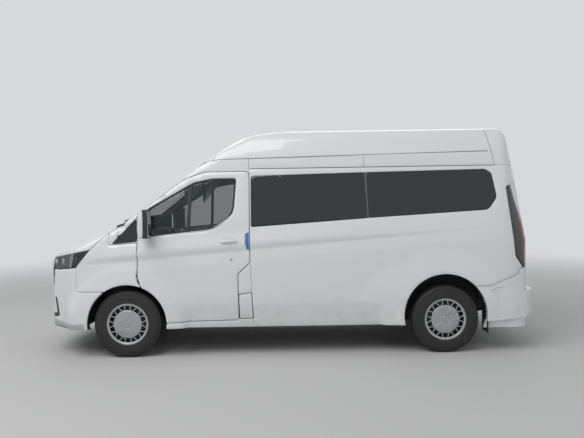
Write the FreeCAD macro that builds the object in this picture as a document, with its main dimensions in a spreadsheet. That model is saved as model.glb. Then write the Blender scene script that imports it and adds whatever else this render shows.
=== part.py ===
"""High-roof minibus, nose towards -X, left side towards -Y, +Z up, in millimetres.

The origin is on the ground, under the middle of the length and width. The body is one hull, the common
part of four simple forms: a side outline, a cross-section, a plan outline and a nose turned about an
upright axis far behind it. The hull is hollowed, and the panels are cut from the wall where the real
ones meet.
"""
import FreeCAD, Part
import math
import os
import Sketcher

V = FreeCAD.Vector
os.makedirs("parts", exist_ok=True)
doc = FreeCAD.newDocument("minibus")

# Driving dimensions: name, value, what it is
SIZES = [
    ("wheelbase", 3300, "front axle to rear axle"),
    ("front_overhang", 1000, "front axle to the bumper"),
    ("rear_overhang", 1040, "rear axle to the rear bumper"),
    ("half_width", 985, "side panel from the middle"),
    ("flare", 15, "wheel arch flare, proud of the side"),
    ("roof_height", 2390, "crown of the roof"),
    ("roof_seam", 1946, "lower edge of the high roof"),
    ("wall", 55, "thickness of a side wall or door"),
    ("roof_wall", 40, "thickness of the roof"),
    ("pane", 6, "thickness of a window"),
    ("shut_gap", 7, "gap round a door"),
    ("seam", 4, "gap between fixed panels"),
    ("sill_height", 312, "underside of the sill's frame"),
    ("floor_top", 560, "top of the floor"),
    ("floor_depth", 60, "depth of the floor and its members"),
    ("tyre_radius", 350, "outer radius of a tyre"),
    ("tyre_width", 210, "width of a tyre"),
    ("rim_radius", 208, "bead seat of the rim"),
    ("rim_lip", 218, "outer edge of the rim"),
    ("half_track", 868, "wheel centre from the middle"),
    ("arch_radius", 412, "front wheel opening"),
    ("rear_arch_radius", 430, "rear wheel opening"),
    ("rear_arch_lift", 44, "rear opening's centre above the wheel's"),
    ("spindle_radius", 26, "wheel spindle"),
    ("spindle_fit", 0.05, "running clearance of a hub or a kingpin"),
    ("kingpin_radius", 14, "pin of the ball joints"),
    ("kingpin_from_middle", 790, "steering axis from the middle"),
    ("strut_radius", 28, "damper tube"),
    ("seat_width", 455, "one seat"),
    ("seat_pitch", 840, "one row to the next"),
    ("steer_radius", 190, "steering wheel, to the middle of its rim"),
    ("steer_rim", 15, "steering wheel rim's own radius"),
    ("column_radius", 12, "steering column's shaft"),
    ("bonnet_thick", 28, "bonnet"),
    ("mirror_width", 215, "door mirror, across"),
    ("mirror_height", 300, "door mirror, tall"),
    ("axle_radius", 42, "rear axle tube"),
    ("spring_width", 64, "leaf spring"),
    ("exhaust_radius", 32, "exhaust pipe"),
]
sheet = doc.addObject("Spreadsheet::Sheet", "Sizes")
for row, (alias, value, words) in enumerate(SIZES, start=1):
    sheet.set(f"A{row}", words)
    sheet.set(f"B{row}", str(value))
    sheet.setAlias(f"B{row}", alias)
doc.recompute()
S = {alias: float(getattr(sheet, alias)) for alias, value, words in SIZES}

LENGTH = S["front_overhang"] + S["wheelbase"] + S["rear_overhang"]
FRONT = -LENGTH / 2 + S["front_overhang"]
REAR = FRONT + S["wheelbase"]
WIDE = 1400
TALL = 3000
HALF = S["half_width"]
WALL = S["wall"]
GAP = S["shut_gap"]
SEAM = S["seam"]
FLOOR = S["floor_top"]
WHEEL_Z = S["tyre_radius"]
ROOF = S["roof_height"]
SIDES = (("left", -1), ("right", 1))


def outline(points, plane="xz"):
    """Face from corners (u, v, corner radius, bulge of the edge that follows)."""
    place = {"xz": lambda u, v: V(u, 0, v), "xy": lambda u, v: V(u, v, 0), "yz": lambda u, v: V(0, u, v)}[plane]
    corners = [tuple(p) + (0,) * (4 - len(p)) for p in points]
    count = len(corners)
    cuts = []
    for i, (u, v, radius, bulge) in enumerate(corners):
        here = V(u, v, 0)
        back = V(corners[i - 1][0], corners[i - 1][1], 0) - here
        ahead = V(corners[(i + 1) % count][0], corners[(i + 1) % count][1], 0) - here
        turn = math.pi - back.getAngle(ahead)
        if radius <= 0 or turn < 1e-3:
            cuts.append((here, None, here))
            continue
        reach = min(radius * math.tan(turn / 2), 0.49 * back.Length, 0.49 * ahead.Length)
        radius = reach / math.tan(turn / 2)
        a = here + back.normalize() * reach
        b = here + ahead.normalize() * reach
        middle = (a + b) * 0.5 - here
        centre = here + middle.normalize() * math.hypot(radius, reach)
        cuts.append((a, centre + (here - centre).normalize() * radius, b))
    edges = []
    for i, (a, mid, b) in enumerate(cuts):
        if mid is not None:
            edges.append(Part.Arc(place(*a[:2]), place(*mid[:2]), place(*b[:2])).toShape())
        after = cuts[(i + 1) % count][0]
        bulge = corners[i][3]
        if (after - b).Length < 1e-6:
            continue
        if bulge:
            side = V(after.y - b.y, b.x - after.x, 0).normalize() * bulge
            peak = (b + after) * 0.5 + side
            edges.append(Part.Arc(place(*b[:2]), place(*peak[:2]), place(*after[:2])).toShape())
        else:
            edges.append(Part.LineSegment(place(*b[:2]), place(*after[:2])).toShape())
    return Part.Face(Part.Wire(edges))


def prism_y(points, low, high):
    face = outline(points, "xz")
    face.translate(V(0, low, 0))
    return face.extrude(V(0, high - low, 0))


def prism_z(points, low, high):
    face = outline(points, "xy")
    face.translate(V(0, 0, low))
    return face.extrude(V(0, 0, high - low))


def prism_x(points, low, high):
    face = outline(points, "yz")
    face.translate(V(low, 0, 0))
    return face.extrude(V(high - low, 0, 0))


def box(x0, x1, y0, y1, z0, z1):
    return Part.makeBox(abs(x1 - x0), abs(y1 - y0), abs(z1 - z0), V(min(x0, x1), min(y0, y1), min(z0, z1)))


def rod(radius, start, end):
    return Part.makeCylinder(radius, (end - start).Length, start, end - start)


def across(radius, x, z, y0, y1):
    return rod(radius, V(x, min(y0, y1), z), V(x, max(y0, y1), z))


def mirrored(shape):
    return shape.mirror(V(0, 0, 0), V(0, 1, 0))


def side_of(shape, sign):
    """A shape drawn on the left (-Y), or its mirror image for the right."""
    return shape if sign < 0 else mirrored(shape)


def fuse(shapes):
    shapes = list(shapes)
    return shapes[0].multiFuse(shapes[1:]).removeSplitter() if len(shapes) > 1 else shapes[0]


def common(*shapes):
    result = shapes[0]
    for shape in shapes[1:]:
        result = result.common(shape)
    return result


def biggest(shape):
    return max(shape.Solids, key=lambda solid: solid.Volume)


def two_largest(shape):
    return Part.makeCompound(sorted(shape.Solids, key=lambda solid: -solid.Volume)[:2])


# Hull

NOSE_AXIS = 3000
# Middle line of the nose, from the front axle: x, z, corner radius
NOSE = [
    (-1000, 100, 0), (-1000, 430, 200), (-974, 700, 500), (-950, 990, 60), (-872, 1092, 120), (-790, 1160, 250),
    (-640, 1234, 600), (-400, 1324, 500), (-168, 1390, 0), (567, 1955, 300), (851, 2147, 400), (1150, 2310, 500),
    (1500, 2368, 500), (2200, 2440, 0), (NOSE_AXIS, 2440, 0), (NOSE_AXIS, 100, 0),
]
# Tail in side view, from the rear axle: x, z, corner radius
TAIL = [
    (480, 2420, 0), (640, 2360, 120), (722, 2252, 220), (818, 2001, 600), (862, 1772, 900), (912, 1512, 900),
    (950, 1165, 900), (962, 875, 400), (962, 200, 0),
]
# Half cross-section of the whole body: half-width less half_width, z, corner radius
SECTION = [
    (-70, 150, 0), (-55, 300, 60), (0, 560, 500), (10, 800, 0), (10, 1150, 120), (-18, 1300, 200),
    (-140, 1950, 60), (-160, 2105, 60), (-235, 2290, 90),
]
SHOULDER = (690, 45)
# Half cross-section at x = 0 of the lower body, whose crease rises towards the tail
CREASE = [
    (0, -600, 0), (0, 1030, 200), (-14, 1138, 20), (3, 1199, 12), (-34, 1330, 200), (-46, 1500, 300), (-46, 3400, 0),
]
CREASE_RISE = 0.078
# Half cross-section over the bonnet, at BROW_X, and how it climbs towards the windscreen
BROW = [(20, -400, 0), (20, 1120, 100), (-14, 1205, 90), (-70, 1285, 160), (-285, 1352, 300)]
BROW_X = -251
BROW_TOP = 1392
BROW_FLAT = 200
BROW_RISE = 0.45
BROW_END = -40
# Half plan outline: x from the axle, half-width less half_width, corner radius
PLAN_FRONT = [(-885, -345, 120), (-560, -40, 320), (-120, 12, 900)]
PLAN_REAR = [(330, 12, 900), (700, -32, 500), (885, -125, 110)]
PLAN_REAR_TOP = [(330, 12, 900), (600, -140, 500), (705, -285, 150)]
PLAN_BREAK = 1165
PLAN_TOP = 2400
NOSE_BOW = 115
TAIL_BOW = 80


def plan_ring(rear, side_in, front_in, rear_in, z):
    front = [(FRONT + x + front_in, HALF + y - side_in, r) for x, y, r in PLAN_FRONT]
    back = [(REAR + x - rear_in, HALF + y - side_in, r) for x, y, r in rear]
    loop = front + back[:-1] + [back[-1] + (-TAIL_BOW,)]
    loop += [(x, -y, r) for x, y, r in reversed(back)]
    ahead = [(x, -y, r) for x, y, r in reversed(front)]
    loop += ahead[:-1] + [ahead[-1] + (-NOSE_BOW,)]
    face = outline(loop, "xy")
    face.translate(V(0, 0, z))
    return face


def section_ring(half, side_in, top_in, peak, bulge=0):
    right = [(HALF + y - side_in, z - (top_in if z > 2000 else 0), r) for y, z, r in half]
    left = [(-y, z, r) for y, z, r in reversed(right)]
    if not peak:
        return right + left
    y, z = peak
    return right + [(y - side_in, z - top_in, 0, bulge), (side_in - y, z - top_in, 0)] + left


def slanted(points, x, run, rise):
    """A cross-section at x, drawn out along a line that climbs."""
    face = outline(points, "yz")
    face.translate(V(x, 0, 0))
    return face.extrude(V(run, 0, run * rise))


def hull(depth, top_depth=None):
    """The body's outer form, or the form that lies a given depth below it."""
    top = depth if top_depth is None else top_depth
    tail = [(REAR + x - depth, z - top * min(1, max(0, z - 1500) / 500), r) for x, z, r in TAIL]
    side = prism_y([(FRONT - 1300, 150), (FRONT - 1300, 2420 - top)] + tail, -WIDE, WIDE)
    ring = section_ring(SECTION, depth, top, (SHOULDER[0], ROOF - SHOULDER[1]), SHOULDER[1])
    section = prism_x(ring, -LENGTH, LENGTH)
    crease = slanted(section_ring(CREASE, depth, 0, None), -3000, 6000, CREASE_RISE)
    crease.translate(V(0, 0, -3000 * CREASE_RISE))
    plan = plan_ring(PLAN_REAR, depth, depth, depth, 0).extrude(V(0, 0, PLAN_BREAK))
    rings = [
        plan_ring(outline_behind, depth, depth, depth, z)
        for outline_behind, z in ((PLAN_REAR, PLAN_BREAK), (PLAN_REAR_TOP, PLAN_TOP))]
    plan = plan.fuse(Part.makeLoft([ring.OuterWire for ring in rings], True, True))
    centre = V(FRONT + NOSE_AXIS, 0, 0)
    profile = [(FRONT + x + (depth if x < NOSE_AXIS else 0), z - (top if z > 100 else 0), r) for x, z, r in NOSE]
    face = outline(profile)
    face.rotate(centre, V(0, 0, 1), -45)
    nose = face.revolve(centre, V(0, 0, 1), 90)
    nose = nose.fuse(box(FRONT + 2000, REAR + 1400, -WIDE, WIDE, 50, TALL)).removeSplitter()
    brow_ring = section_ring(BROW, depth, 0, (BROW_FLAT, BROW_TOP))
    brow_ring = [(y, z - depth if z > 1000 else z, *rest) for y, z, *rest in brow_ring]
    brow = slanted(brow_ring, FRONT + BROW_X, 900 + BROW_END - BROW_X, BROW_RISE)
    brow.translate(V(-900, 0, -900 * BROW_RISE))
    brow = brow.fuse(box(FRONT + BROW_END - 5, REAR + 1400, -WIDE, WIDE, -1400, TALL))
    return common(section, crease, plan, side, nose, brow)


LAYERS = {
    "skin": hull(0),
    "glass_out": hull(2),
    "glass_in": hull(2 + S["pane"]),
    "flange": hull(14),
    "thin": hull(S["bonnet_thick"]),
    "inside": hull(WALL, S["roof_wall"]),
    "frame_out": hull(WALL + 7, S["roof_wall"] + 7),
    "frame_in": hull(WALL + 60, S["roof_wall"] + 45),
}
# Wheel arch flares: middle, lift, radius of the opening, radius where the flare dies out
FLARES = ((FRONT, 0, S["arch_radius"], 560), (REAR, S["rear_arch_lift"], S["rear_arch_radius"], 640))
for side, sign in SIDES:
    for x, lift, small, large in FLARES:
        foot = V(x, sign * (HALF - 30), WHEEL_Z + lift)
        swell = Part.makeCone(large, small + 8, 30 + S["flare"], foot, V(0, sign, 0))
        swell = swell.common(box(x - 1000, x + 1000, -WIDE, WIDE, 330, TALL))
        LAYERS["skin"] = LAYERS["skin"].fuse(swell)


def layer(outside, within, *zones):
    """The stretch of wall between two depths, inside a zone."""
    shape = common(LAYERS[outside], *zones)
    return shape.cut(LAYERS[within]) if within else shape


NODES = []


def feature(name, shape):
    """A panel or other free form, whose sizes this file reads from the sheet."""
    item = doc.addObject("Part::Feature", name)
    item.Label = name
    item.Shape = shape
    NODES.append(item)
    return item


def grown(points, by, plane="xz", low=-WIDE, high=WIDE):
    """Prism of an outline that is moved outwards, or inwards where by is negative."""
    face = outline(points, plane)
    if by:
        face = face.makeOffset2D(by, 2 if by > 0 else 0)
        face = Part.Face(face.OuterWire)
    axis = {"xz": V(0, 1, 0), "xy": V(0, 0, 1), "yz": V(1, 0, 0)}[plane]
    face.translate(axis * low)
    return face.extrude(axis * (high - low))


# Outlines of the panels in side view: x, z, corner radius

FRONT_DOOR_TOP = [(-1551, 1490, 60), (-1080, 1838, 400), (-860, 1917, 300), (-393, 1917, 40)]
FRONT_DOOR_NOSE = [(-1400, 362, 20), (-1512, 735, 20), (-1548, 830, 40), (-1551, 1100, 0)]
LEFT_DOOR = FRONT_DOOR_NOSE + FRONT_DOOR_TOP + [(-391, 972, 30), (-518, 861, 60), (-515, 376, 30)]
RIGHT_DOOR = FRONT_DOOR_NOSE + FRONT_DOOR_TOP + [(-393, 380, 30)]
DOOR_GLASS = [
    (-1505, 1244, 20), (-1505, 1508, 30), (-975, 1812, 300), (-778, 1852, 300), (-522, 1852, 30), (-553, 1470, 200),
    (-765, 1312, 300),
]
QUARTER = [(-1822, 1185, 8), (-1562, 1207, 12), (-1562, 1450, 12)]
SIDE_WINDOWS = (
    [(-372, 1338, 20), (-372, 1871, 20), (816, 1891, 20), (837, 1412, 20)],
    [(851, 1414, 20), (840, 1891, 20), (2085, 1906, 50), (2150, 1862, 40), (2192, 1607, 90), (2096, 1480, 90)],
)
SLIDING_DOOR = [(-379, 380, 40), (-379, 1930, 40), (826, 1930, 40), (844, 1400, 0), (844, 392, 40)]
FUEL_FLAP = [(-503, 391, 14), (-505, 640, 14), (-378, 658, 14), (-367, 391, 14)]
# Tailgate in rear view: half-width, z, corner radius
TAILGATE = [(838, 640, 50), (838, 1310, 200), (722, 2052, 60), (-722, 2052, 60), (-838, 1310, 200), (-838, 640, 50)]
TAILGATE_GLASS = [(735, 1290, 60), (650, 1880, 80), (-650, 1880, 80), (-735, 1290, 60)]
TAILGATE_X = 2000
# Room above the tailgate for its top edge, which rises as it opens
TAILGATE_LIFT = 7
BONNET = [
    (-1700, 1420), (-1846, 1310, 60), (-1921, 1248, 60), (-2052, 1130, 40), (-2488, 1043, 60), (-2720, 1043),
    (-2720, 1600), (-1700, 1600),
]
BUMPER = [(-1600, 150), (-1600, 691), (-2207, 691), (-2207, 941), (-2446, 907, 30), (-2760, 907), (-2760, 150)]
HEADLAMP = [(-2052, 1126), (-2484, 1039, 30), (-2760, 1039), (-2760, 911), (-2446, 911, 30), (-2207, 945, 20)]
LAMP_INNER = 545
TAIL_LAMP = [(2297, 1717, 20), (2440, 1778, 40), (2700, 1790), (2700, 868), (2470, 868), (2380, 991, 40)]
LAMP_EDGE = 845
REAR_BUMPER = [(1900, 250), (1900, 690), (2093, 694, 40), (2400, 800, 120), (2440, 864), (2760, 864), (2760, 250)]
ROOF_ZONE = [
    (2760, 1948), (-386, 1948), (-386, 1500), (-1558, 1195), (-1850, 1178), (-1850, 1392), (-2000, 1500),
    (-1300, 2600), (2760, 2600),
]
SIDE_PANEL = [
    (-1262, 300), (2760, 300), (2760, 1944), (-386, 1944), (-386, 985), (-620, 850), (-620, 420), (-1262, 420),
]
WING = [(-1300, 300), (-1558, 700), (-1558, 1190), (-1852, 1172), (-1852, 1420), (-2760, 1420), (-2760, 300)]
# Windscreen in front view: half-width, z, corner radius
SCREEN = [(780, 1404, 60), (688, 1912, 60), (-688, 1912, 60), (-780, 1404, 60)]
COWL_RADII = (NOSE_AXIS + 170, NOSE_AXIS + 232)
TAILGATE_FOOT = 640
# Hinge lines: front door (x, y of the left one), tailgate (x, z), bonnet (x, z)
DOOR_PIVOT = (-1551, -982)
TAILGATE_PIVOT = (2421, 2055.5)
BONNET_PIVOT = (-1790, 1366)
# Hinge line of the fuel flap: x, y
FLAP_PIVOT = (-382, -980.5)
FLAP_PIN = 2
FLAP_GAP = 8
PIN_RADIUS = 3
KNUCKLE_RADIUS = 6
KNUCKLE = 20
KNUCKLE_CLEAR = 11.5


def left_of(limit=0):
    return box(-3000, 3000, -WIDE, limit, 0, TALL)


def round_nose(radius, half):
    """Plan of all that lies behind an arc about the nose's axis."""
    centre = FRONT + NOSE_AXIS
    edge = centre - math.sqrt(radius**2 - half**2)
    bulge = radius - (centre - edge)
    return prism_z([(edge, half, 0), (centre, half, 0), (centre, -half, 0), (edge, -half, 0, -bulge)], 0, TALL)


def arch(x, lift, radius, low_y=-WIDE, high_y=WIDE):
    return across(radius, x, WHEEL_Z + lift, low_y, high_y)


def hinge(start, direction):
    """Fixed knuckle and pin, and the moving eye round the pin, along a hinge line; and what clears them."""
    aim = V(direction).normalize()
    fixed = rod(KNUCKLE_RADIUS, start, start + aim * KNUCKLE)
    fixed = fixed.fuse(rod(PIN_RADIUS, start, start + aim * (2.4 * KNUCKLE)))
    eye = rod(KNUCKLE_RADIUS, start + aim * (KNUCKLE + 0.3), start + aim * (2.5 * KNUCKLE))
    eye = eye.cut(rod(PIN_RADIUS + S["spindle_fit"], start, start + aim * (3 * KNUCKLE)))
    clear_fixed = rod(KNUCKLE_CLEAR, start - aim * 6, start + aim * (KNUCKLE + 0.2))
    clear_eye = rod(KNUCKLE_CLEAR, start + aim * KNUCKLE, start + aim * (2.5 * KNUCKLE + 6))
    return {"fixed": fixed, "eye": eye, "clear_fixed": clear_fixed, "clear_eye": clear_eye}


FRONT_ARCH = arch(FRONT, 0, S["arch_radius"])
REAR_ARCH = arch(REAR, S["rear_arch_lift"], S["rear_arch_radius"])

# Body panels

def door_skin(points, sign, *cuts):
    """A door: a full outline at the skin and a smaller one behind it, so that it swings clear."""
    skin = layer("skin", "flange", grown(points, 0))
    body = layer("flange", "inside", grown(points, -18))
    half = fuse([skin, body]).common(left_of(0) if sign < 0 else mirrored(left_of(0)))
    for cut in cuts:
        half = half.cut(cut)
    return biggest(half)


def pane(points, sign, outside="glass_out", within="glass_in"):
    half = left_of(0) if sign < 0 else mirrored(left_of(0))
    return biggest(layer(outside, within, grown(points, 0), half))


def window_cut(points, flange=28):
    """A window's seat in the skin and the smaller opening behind it."""
    seat = grown(points, 0.5).cut(LAYERS["glass_in"])
    return seat.fuse(grown(points, -flange))


def handle(x, z, sign):
    """A grab handle over a shallow hollow, drawn at the skin."""
    y = HALF + 8
    grip = Part.makeBox(165, 20, 26, V(x - 82, -y - 24, z - 13))
    grip = grip.makeFillet(8, grip.Edges)
    feet = [Part.makeCylinder(10, 60, V(x + dx, -y - 12, z), V(0, 1, 0)) for dx in (-66, 66)]
    return side_of(fuse([grip] + feet), sign)


DOOR_HINGE_Z = (845, 1045)
MIRROR_FOOT = 1240
MIRROR_ROOT = 60
MIRROR_RIM = 20
for side, sign in SIDES:
    points = LEFT_DOOR if sign < 0 else RIGHT_DOOR
    door = door_skin(points, sign, FRONT_ARCH, grown(DOOR_GLASS, 0))
    for z in DOOR_HINGE_Z:
        knuckles = hinge(V(*DOOR_PIVOT, z), V(0, 0, 1))
        bore = rod(PIN_RADIUS + S["spindle_fit"], V(*DOOR_PIVOT, z), V(*DOOR_PIVOT, z + 3 * KNUCKLE))
        door = door.cut(side_of(knuckles["clear_fixed"], sign)).fuse(side_of(knuckles["eye"], sign))
        door = door.cut(side_of(bore, sign))
    door = biggest(door.fuse(handle(-608, 1196, sign)))
    feature(f"{side}_door", door)
    feature(f"{side}_door_glass", pane(DOOR_GLASS, sign, "flange", "thin"))

    tip = -HALF + MIRROR_ROOT - S["mirror_width"]
    head = Part.makeBox(90, S["mirror_width"], S["mirror_height"], V(-1490, tip, MIRROR_FOOT))
    head = head.makeFillet(26, head.Edges)
    glass = (40, S["mirror_width"] - 2 * MIRROR_RIM, S["mirror_height"] - 2 * MIRROR_RIM)
    hollow = Part.makeBox(*glass, V(-1414, tip + MIRROR_RIM, MIRROR_FOOT + MIRROR_RIM))
    arm = rod(20, V(-1450, -HALF - 20, 1290), V(-1450, -HALF + 45, 1282))
    foot = rod(26, V(-1450, -HALF - 20, 1290), V(-1450, -HALF + 10, 1290))
    mirror = head.cut(hollow).fuse([arm, foot]).cut(LAYERS["skin"])
    feature(f"{side}_mirror", side_of(biggest(mirror), sign))

bonnet = biggest(layer("skin", "thin", grown(BONNET, 0)).cut(round_nose(COWL_RADII[1] + GAP, 1100)))
bonnet_posts = []
bonnet_clear = []
for side, sign in SIDES:
    x, z = BONNET_PIVOT
    knuckles = hinge(V(x, 765 * sign, z), V(0, sign, 0))
    low, high = sorted((sign * (765 + KNUCKLE + 0.3), sign * (765 + 2.5 * KNUCKLE)))
    strap = box(x - 30, x, low, high, z - 6, z + 4)
    strap = strap.cut(rod(PIN_RADIUS + S["spindle_fit"], V(x, low, z), V(x, high, z)))
    bonnet = bonnet.cut(knuckles["clear_fixed"]).fuse([knuckles["eye"], strap])
    low, high = sorted((sign * 765, sign * (765 + KNUCKLE)))
    bonnet_posts += [knuckles["fixed"], box(x - 6, x + 6, low, high, 1290, z)]
    bonnet_clear += [knuckles["clear_eye"], knuckles["clear_fixed"],
                     box(x - 32, x + 12, *sorted((sign * 758, sign * 825)), z - 14, z + 60),
                     box(x - 8, x + 8, *sorted((sign * 763, sign * 787)), 1250, z)]
feature("bonnet", biggest(bonnet))

cowl_zone = round_nose(COWL_RADII[1], 1100).cut(round_nose(COWL_RADII[0] - 20, 1100))
cowl_zone = cowl_zone.common(box(-2200, -1600, -850, 850, 1200, 1500))
screen_prism = grown(SCREEN, 0, "yz", -2100, -900)
cowl = layer("skin", "thin", cowl_zone).cut([screen_prism] + bonnet_clear)
feature("cowl", biggest(cowl))
feature("windscreen", biggest(layer("glass_out", "glass_in", screen_prism)))
screen_cut = screen_prism.cut(LAYERS["glass_in"]).fuse(grown(SCREEN, -32, "yz", -2100, -900))

bumper_zone = grown(BUMPER, 0)
lamp_zone = grown(HEADLAMP, 0).cut(box(-3000, -1800, -LAMP_INNER, LAMP_INNER, 0, TALL))
lamp_hole = grown(HEADLAMP, SEAM).cut(box(-3000, -1800, SEAM - LAMP_INNER, LAMP_INNER - SEAM, 0, TALL))
grille_zone = box(-3000, -2400, SEAM - LAMP_INNER, LAMP_INNER - SEAM, 911, 1036)
bonnet_hole = grown(BONNET, GAP).cut(round_nose(COWL_RADII[1], 1100))
door_holes = [grown(LEFT_DOOR, GAP, "xz", -WIDE, 0), grown(RIGHT_DOOR, GAP, "xz", 0, WIDE)]
door_pins = []
door_arms = []
for side, sign in SIDES:
    for z in DOOR_HINGE_Z:
        x, y = DOOR_PIVOT
        knuckles = hinge(V(x, y, z), V(0, 0, 1))
        arm = fuse([knuckles["fixed"], box(x - 30, x - 6, y - 4, -900, z, z + KNUCKLE),
                    box(x - 10, x, y - 4, y + 4, z, z + KNUCKLE)])
        door_arms.append(side_of(arm, sign))
        notch = fuse([knuckles["clear_eye"], box(x - 31, x + 2, y - 20, y + 80, z - 1, z + KNUCKLE + 1)])
        door_pins.append(side_of(notch, sign))
quarter_cut = grown(QUARTER, 0.5).cut(LAYERS["glass_in"]).fuse(grown(QUARTER, -14))
wings = layer("skin", "thin", grown(WING, 0)).cut(
    [bonnet_hole, grown(BUMPER, SEAM), lamp_hole, FRONT_ARCH, cowl_zone, screen_prism, quarter_cut,
     box(-3000, -2300, -LAMP_INNER - 60, LAMP_INNER + 60, 800, TALL)] + door_holes + door_pins)
wings = [
    max((solid for solid in wings.Solids if solid.CenterOfMass.y * sign > 0), key=lambda solid: solid.Volume)
    for side, sign in SIDES]
feature("front_wings", Part.makeCompound(wings))
feature("quarter_glass", Part.makeCompound([pane(QUARTER, sign) for side, sign in SIDES]))

intake = [(-560, 455, 60), (-470, 690, 50), (470, 690, 50), (560, 455, 60)]
intake_zone = grown(intake, 0, "yz", -3000, -2300)
bumper = layer("skin", "thin", bumper_zone).cut([FRONT_ARCH, intake_zone])
lip = layer("thin", "inside", bumper_zone, box(-2760, -2280, -800, 800, 215, 262))
slot = grown([(-2420, 470, 12), (-2400, 640, 12), (-2376, 640, 12), (-2390, 470, 12)], 0)
bumper = bumper.cut(slot.cut(box(-3000, 0, -700, 700, 0, TALL))).cut(box(-3000, 0, -WIDE, WIDE, 0, 216)).fuse(lip)
feature("front_bumper", biggest(bumper))

bars = [layer("flange", "inside", box(-3000, -2300, -530, 530, z, z + 16), intake_zone) for z in range(490, 680, 38)]
mesh_posts = [
    layer("thin", "inside", box(-3000, -2300, y - 8, y + 8, 460, 688), intake_zone)
    for y in range(-420, 421, 140)]
upper = layer("skin", "inside", grille_zone)
upper = upper.cut([layer("skin", "thin", box(-3000, -2300, -500, 500, z, z + 20)) for z in (930, 966, 1002)])
GRILLE_TIES = (-380, 380)
ties = [layer("thin", "inside", box(-3000, -2300, y - 12, y + 12, 680, 915)) for y in GRILLE_TIES]
feature("grille", biggest(fuse([upper] + bars + mesh_posts + ties)))

rear_opening = [(y, z + (TAILGATE_LIFT if z > 2000 else 0), radius) for y, z, radius in TAILGATE]
rear_hole = grown(rear_opening, GAP, "yz", TAILGATE_X, 3000)
slide_hole = grown(SLIDING_DOOR, GAP, "xz", 0, WIDE)
tail_hole = grown(TAIL_LAMP, SEAM).cut(box(0, 3000, SEAM - LAMP_EDGE, LAMP_EDGE - SEAM, 0, TALL)).cut(LAYERS["thin"])
roof = layer("skin", "inside", grown(ROOF_ZONE, 0))
roof = roof.cut([screen_cut, cowl_zone, rear_hole, quarter_cut, slide_hole] + door_holes)
bows = [layer("inside", "frame_in", box(x - 40, x + 40, -WIDE, WIDE, 1990, TALL)) for x in (-390, 832, 1500, 2120)]
roof = biggest(roof.fuse(bows).cut(bonnet_hole))
tailgate_parts = []
for side, sign in SIDES:
    x, z = TAILGATE_PIVOT
    knuckles = hinge(V(x, 400 * sign, z), V(0, sign, 0))
    low, high = sorted((400 * sign, (400 + KNUCKLE) * sign))
    roof = roof.cut(knuckles["clear_eye"]).fuse([knuckles["fixed"], box(x - 24, x, low, high, z, z + 22)])
    strap_room = box(x - 30, x, *sorted((394 * sign, (400 + KNUCKLE + 0.2) * sign)), z - 5, z + 10)
    tailgate_parts.append((knuckles["eye"], fuse([knuckles["clear_fixed"], strap_room])))
feature("roof", biggest(roof))

frame_zone = fuse([box(-1262, 2480, -WIDE, WIDE, S["sill_height"], FLOOR)] + [
    box(x - 40, x + 40, -WIDE, WIDE, S["sill_height"], 1990) for x in (-385, 838)])
moving = [grown(LEFT_DOOR, GAP + 4, "xz", -WIDE, 0), grown(RIGHT_DOOR, GAP + 4, "xz", 0, WIDE),
          grown(SLIDING_DOOR, GAP + 4, "xz", 0, WIDE)]
frame = layer("frame_out", "frame_in", frame_zone).fuse(layer("inside", "frame_out", frame_zone).cut(moving))
housings = [arch(FRONT, 0, 432), arch(REAR, S["rear_arch_lift"], 446)]
frame = frame.cut(housings)
flap_hole = grown([(x, z, 4) for x, z, radius in FUEL_FLAP], FLAP_GAP, "xz", -WIDE, 0)
flap_box = grown(FUEL_FLAP, -10, "xz", -WIDE, 0)
# The fuel flap's pin stands in the hole's top edge, behind the side's crown
flap_foot = V(*FLAP_PIVOT, 582)
flap_pin = rod(FLAP_PIN, flap_foot, flap_foot + V(0, 0, 94))
flap_bore = rod(FLAP_PIN + S["spindle_fit"], flap_foot - V(0, 0, 4), flap_foot + V(0, 0, 100))
DOOR_TRACK = [(855, 1262, 4), (855, 1286, 4), (1990, 1286, 4), (1990, 1262, 4)]
for side, sign in SIDES:
    half = left_of(0) if sign < 0 else mirrored(left_of(0))
    panel = layer("skin", "inside", grown(SIDE_PANEL, 0), half)
    cuts = [REAR_ARCH, FRONT_ARCH, rear_hole, tail_hole, grown(REAR_BUMPER, SEAM)] + door_holes
    if sign < 0:
        cuts += [window_cut(points) for points in SIDE_WINDOWS]
        cuts += [flap_hole.cut(LAYERS["thin"]), common(flap_box, LAYERS["skin"]).cut(LAYERS["frame_out"])]
    else:
        cuts += [slide_hole, window_cut(SIDE_WINDOWS[1])]
        cuts.append(grown(DOOR_TRACK, 0).cut(LAYERS["thin"]))
    panel = panel.cut(cuts)
    panel = panel.fuse(common(frame, half)).removeSplitter()
    if sign < 0:
        panel = panel.fuse(flap_pin)
    if sign > 0:
        panel = panel.cut(slide_hole.cut(LAYERS["frame_out"]))
    feature(f"{side}_body_side", biggest(panel))
feature("left_side_glass", Part.makeCompound([pane(points, -1) for points in SIDE_WINDOWS]))
feature("right_side_glass", pane(SIDE_WINDOWS[1], 1))
door = door_skin(SLIDING_DOOR, 1, window_cut(SIDE_WINDOWS[0]))
# Rollers at the sill and against the pillars
roller_at = [(-300, -260, 420, 460), (700, 740, 420, 460), (-372, -352, 1700, 1740), (806, 826, 1240, 1280)]
rollers = [common(layer("inside", "frame_out"), box(x0, x1, 0, WIDE, z0, z1)) for x0, x1, z0, z1 in roller_at]
feature("sliding_door", biggest(door.fuse(rollers + [handle(-290, 1196, 1)])))
feature("sliding_door_glass", pane(SIDE_WINDOWS[0], 1))
flap = common(LAYERS["skin"], grown(FUEL_FLAP, 0, "xz", -WIDE, 0)).cut(LAYERS["glass_in"])
flap = biggest(flap).cut(flap_bore)
feature("fuel_flap", flap)

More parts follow.
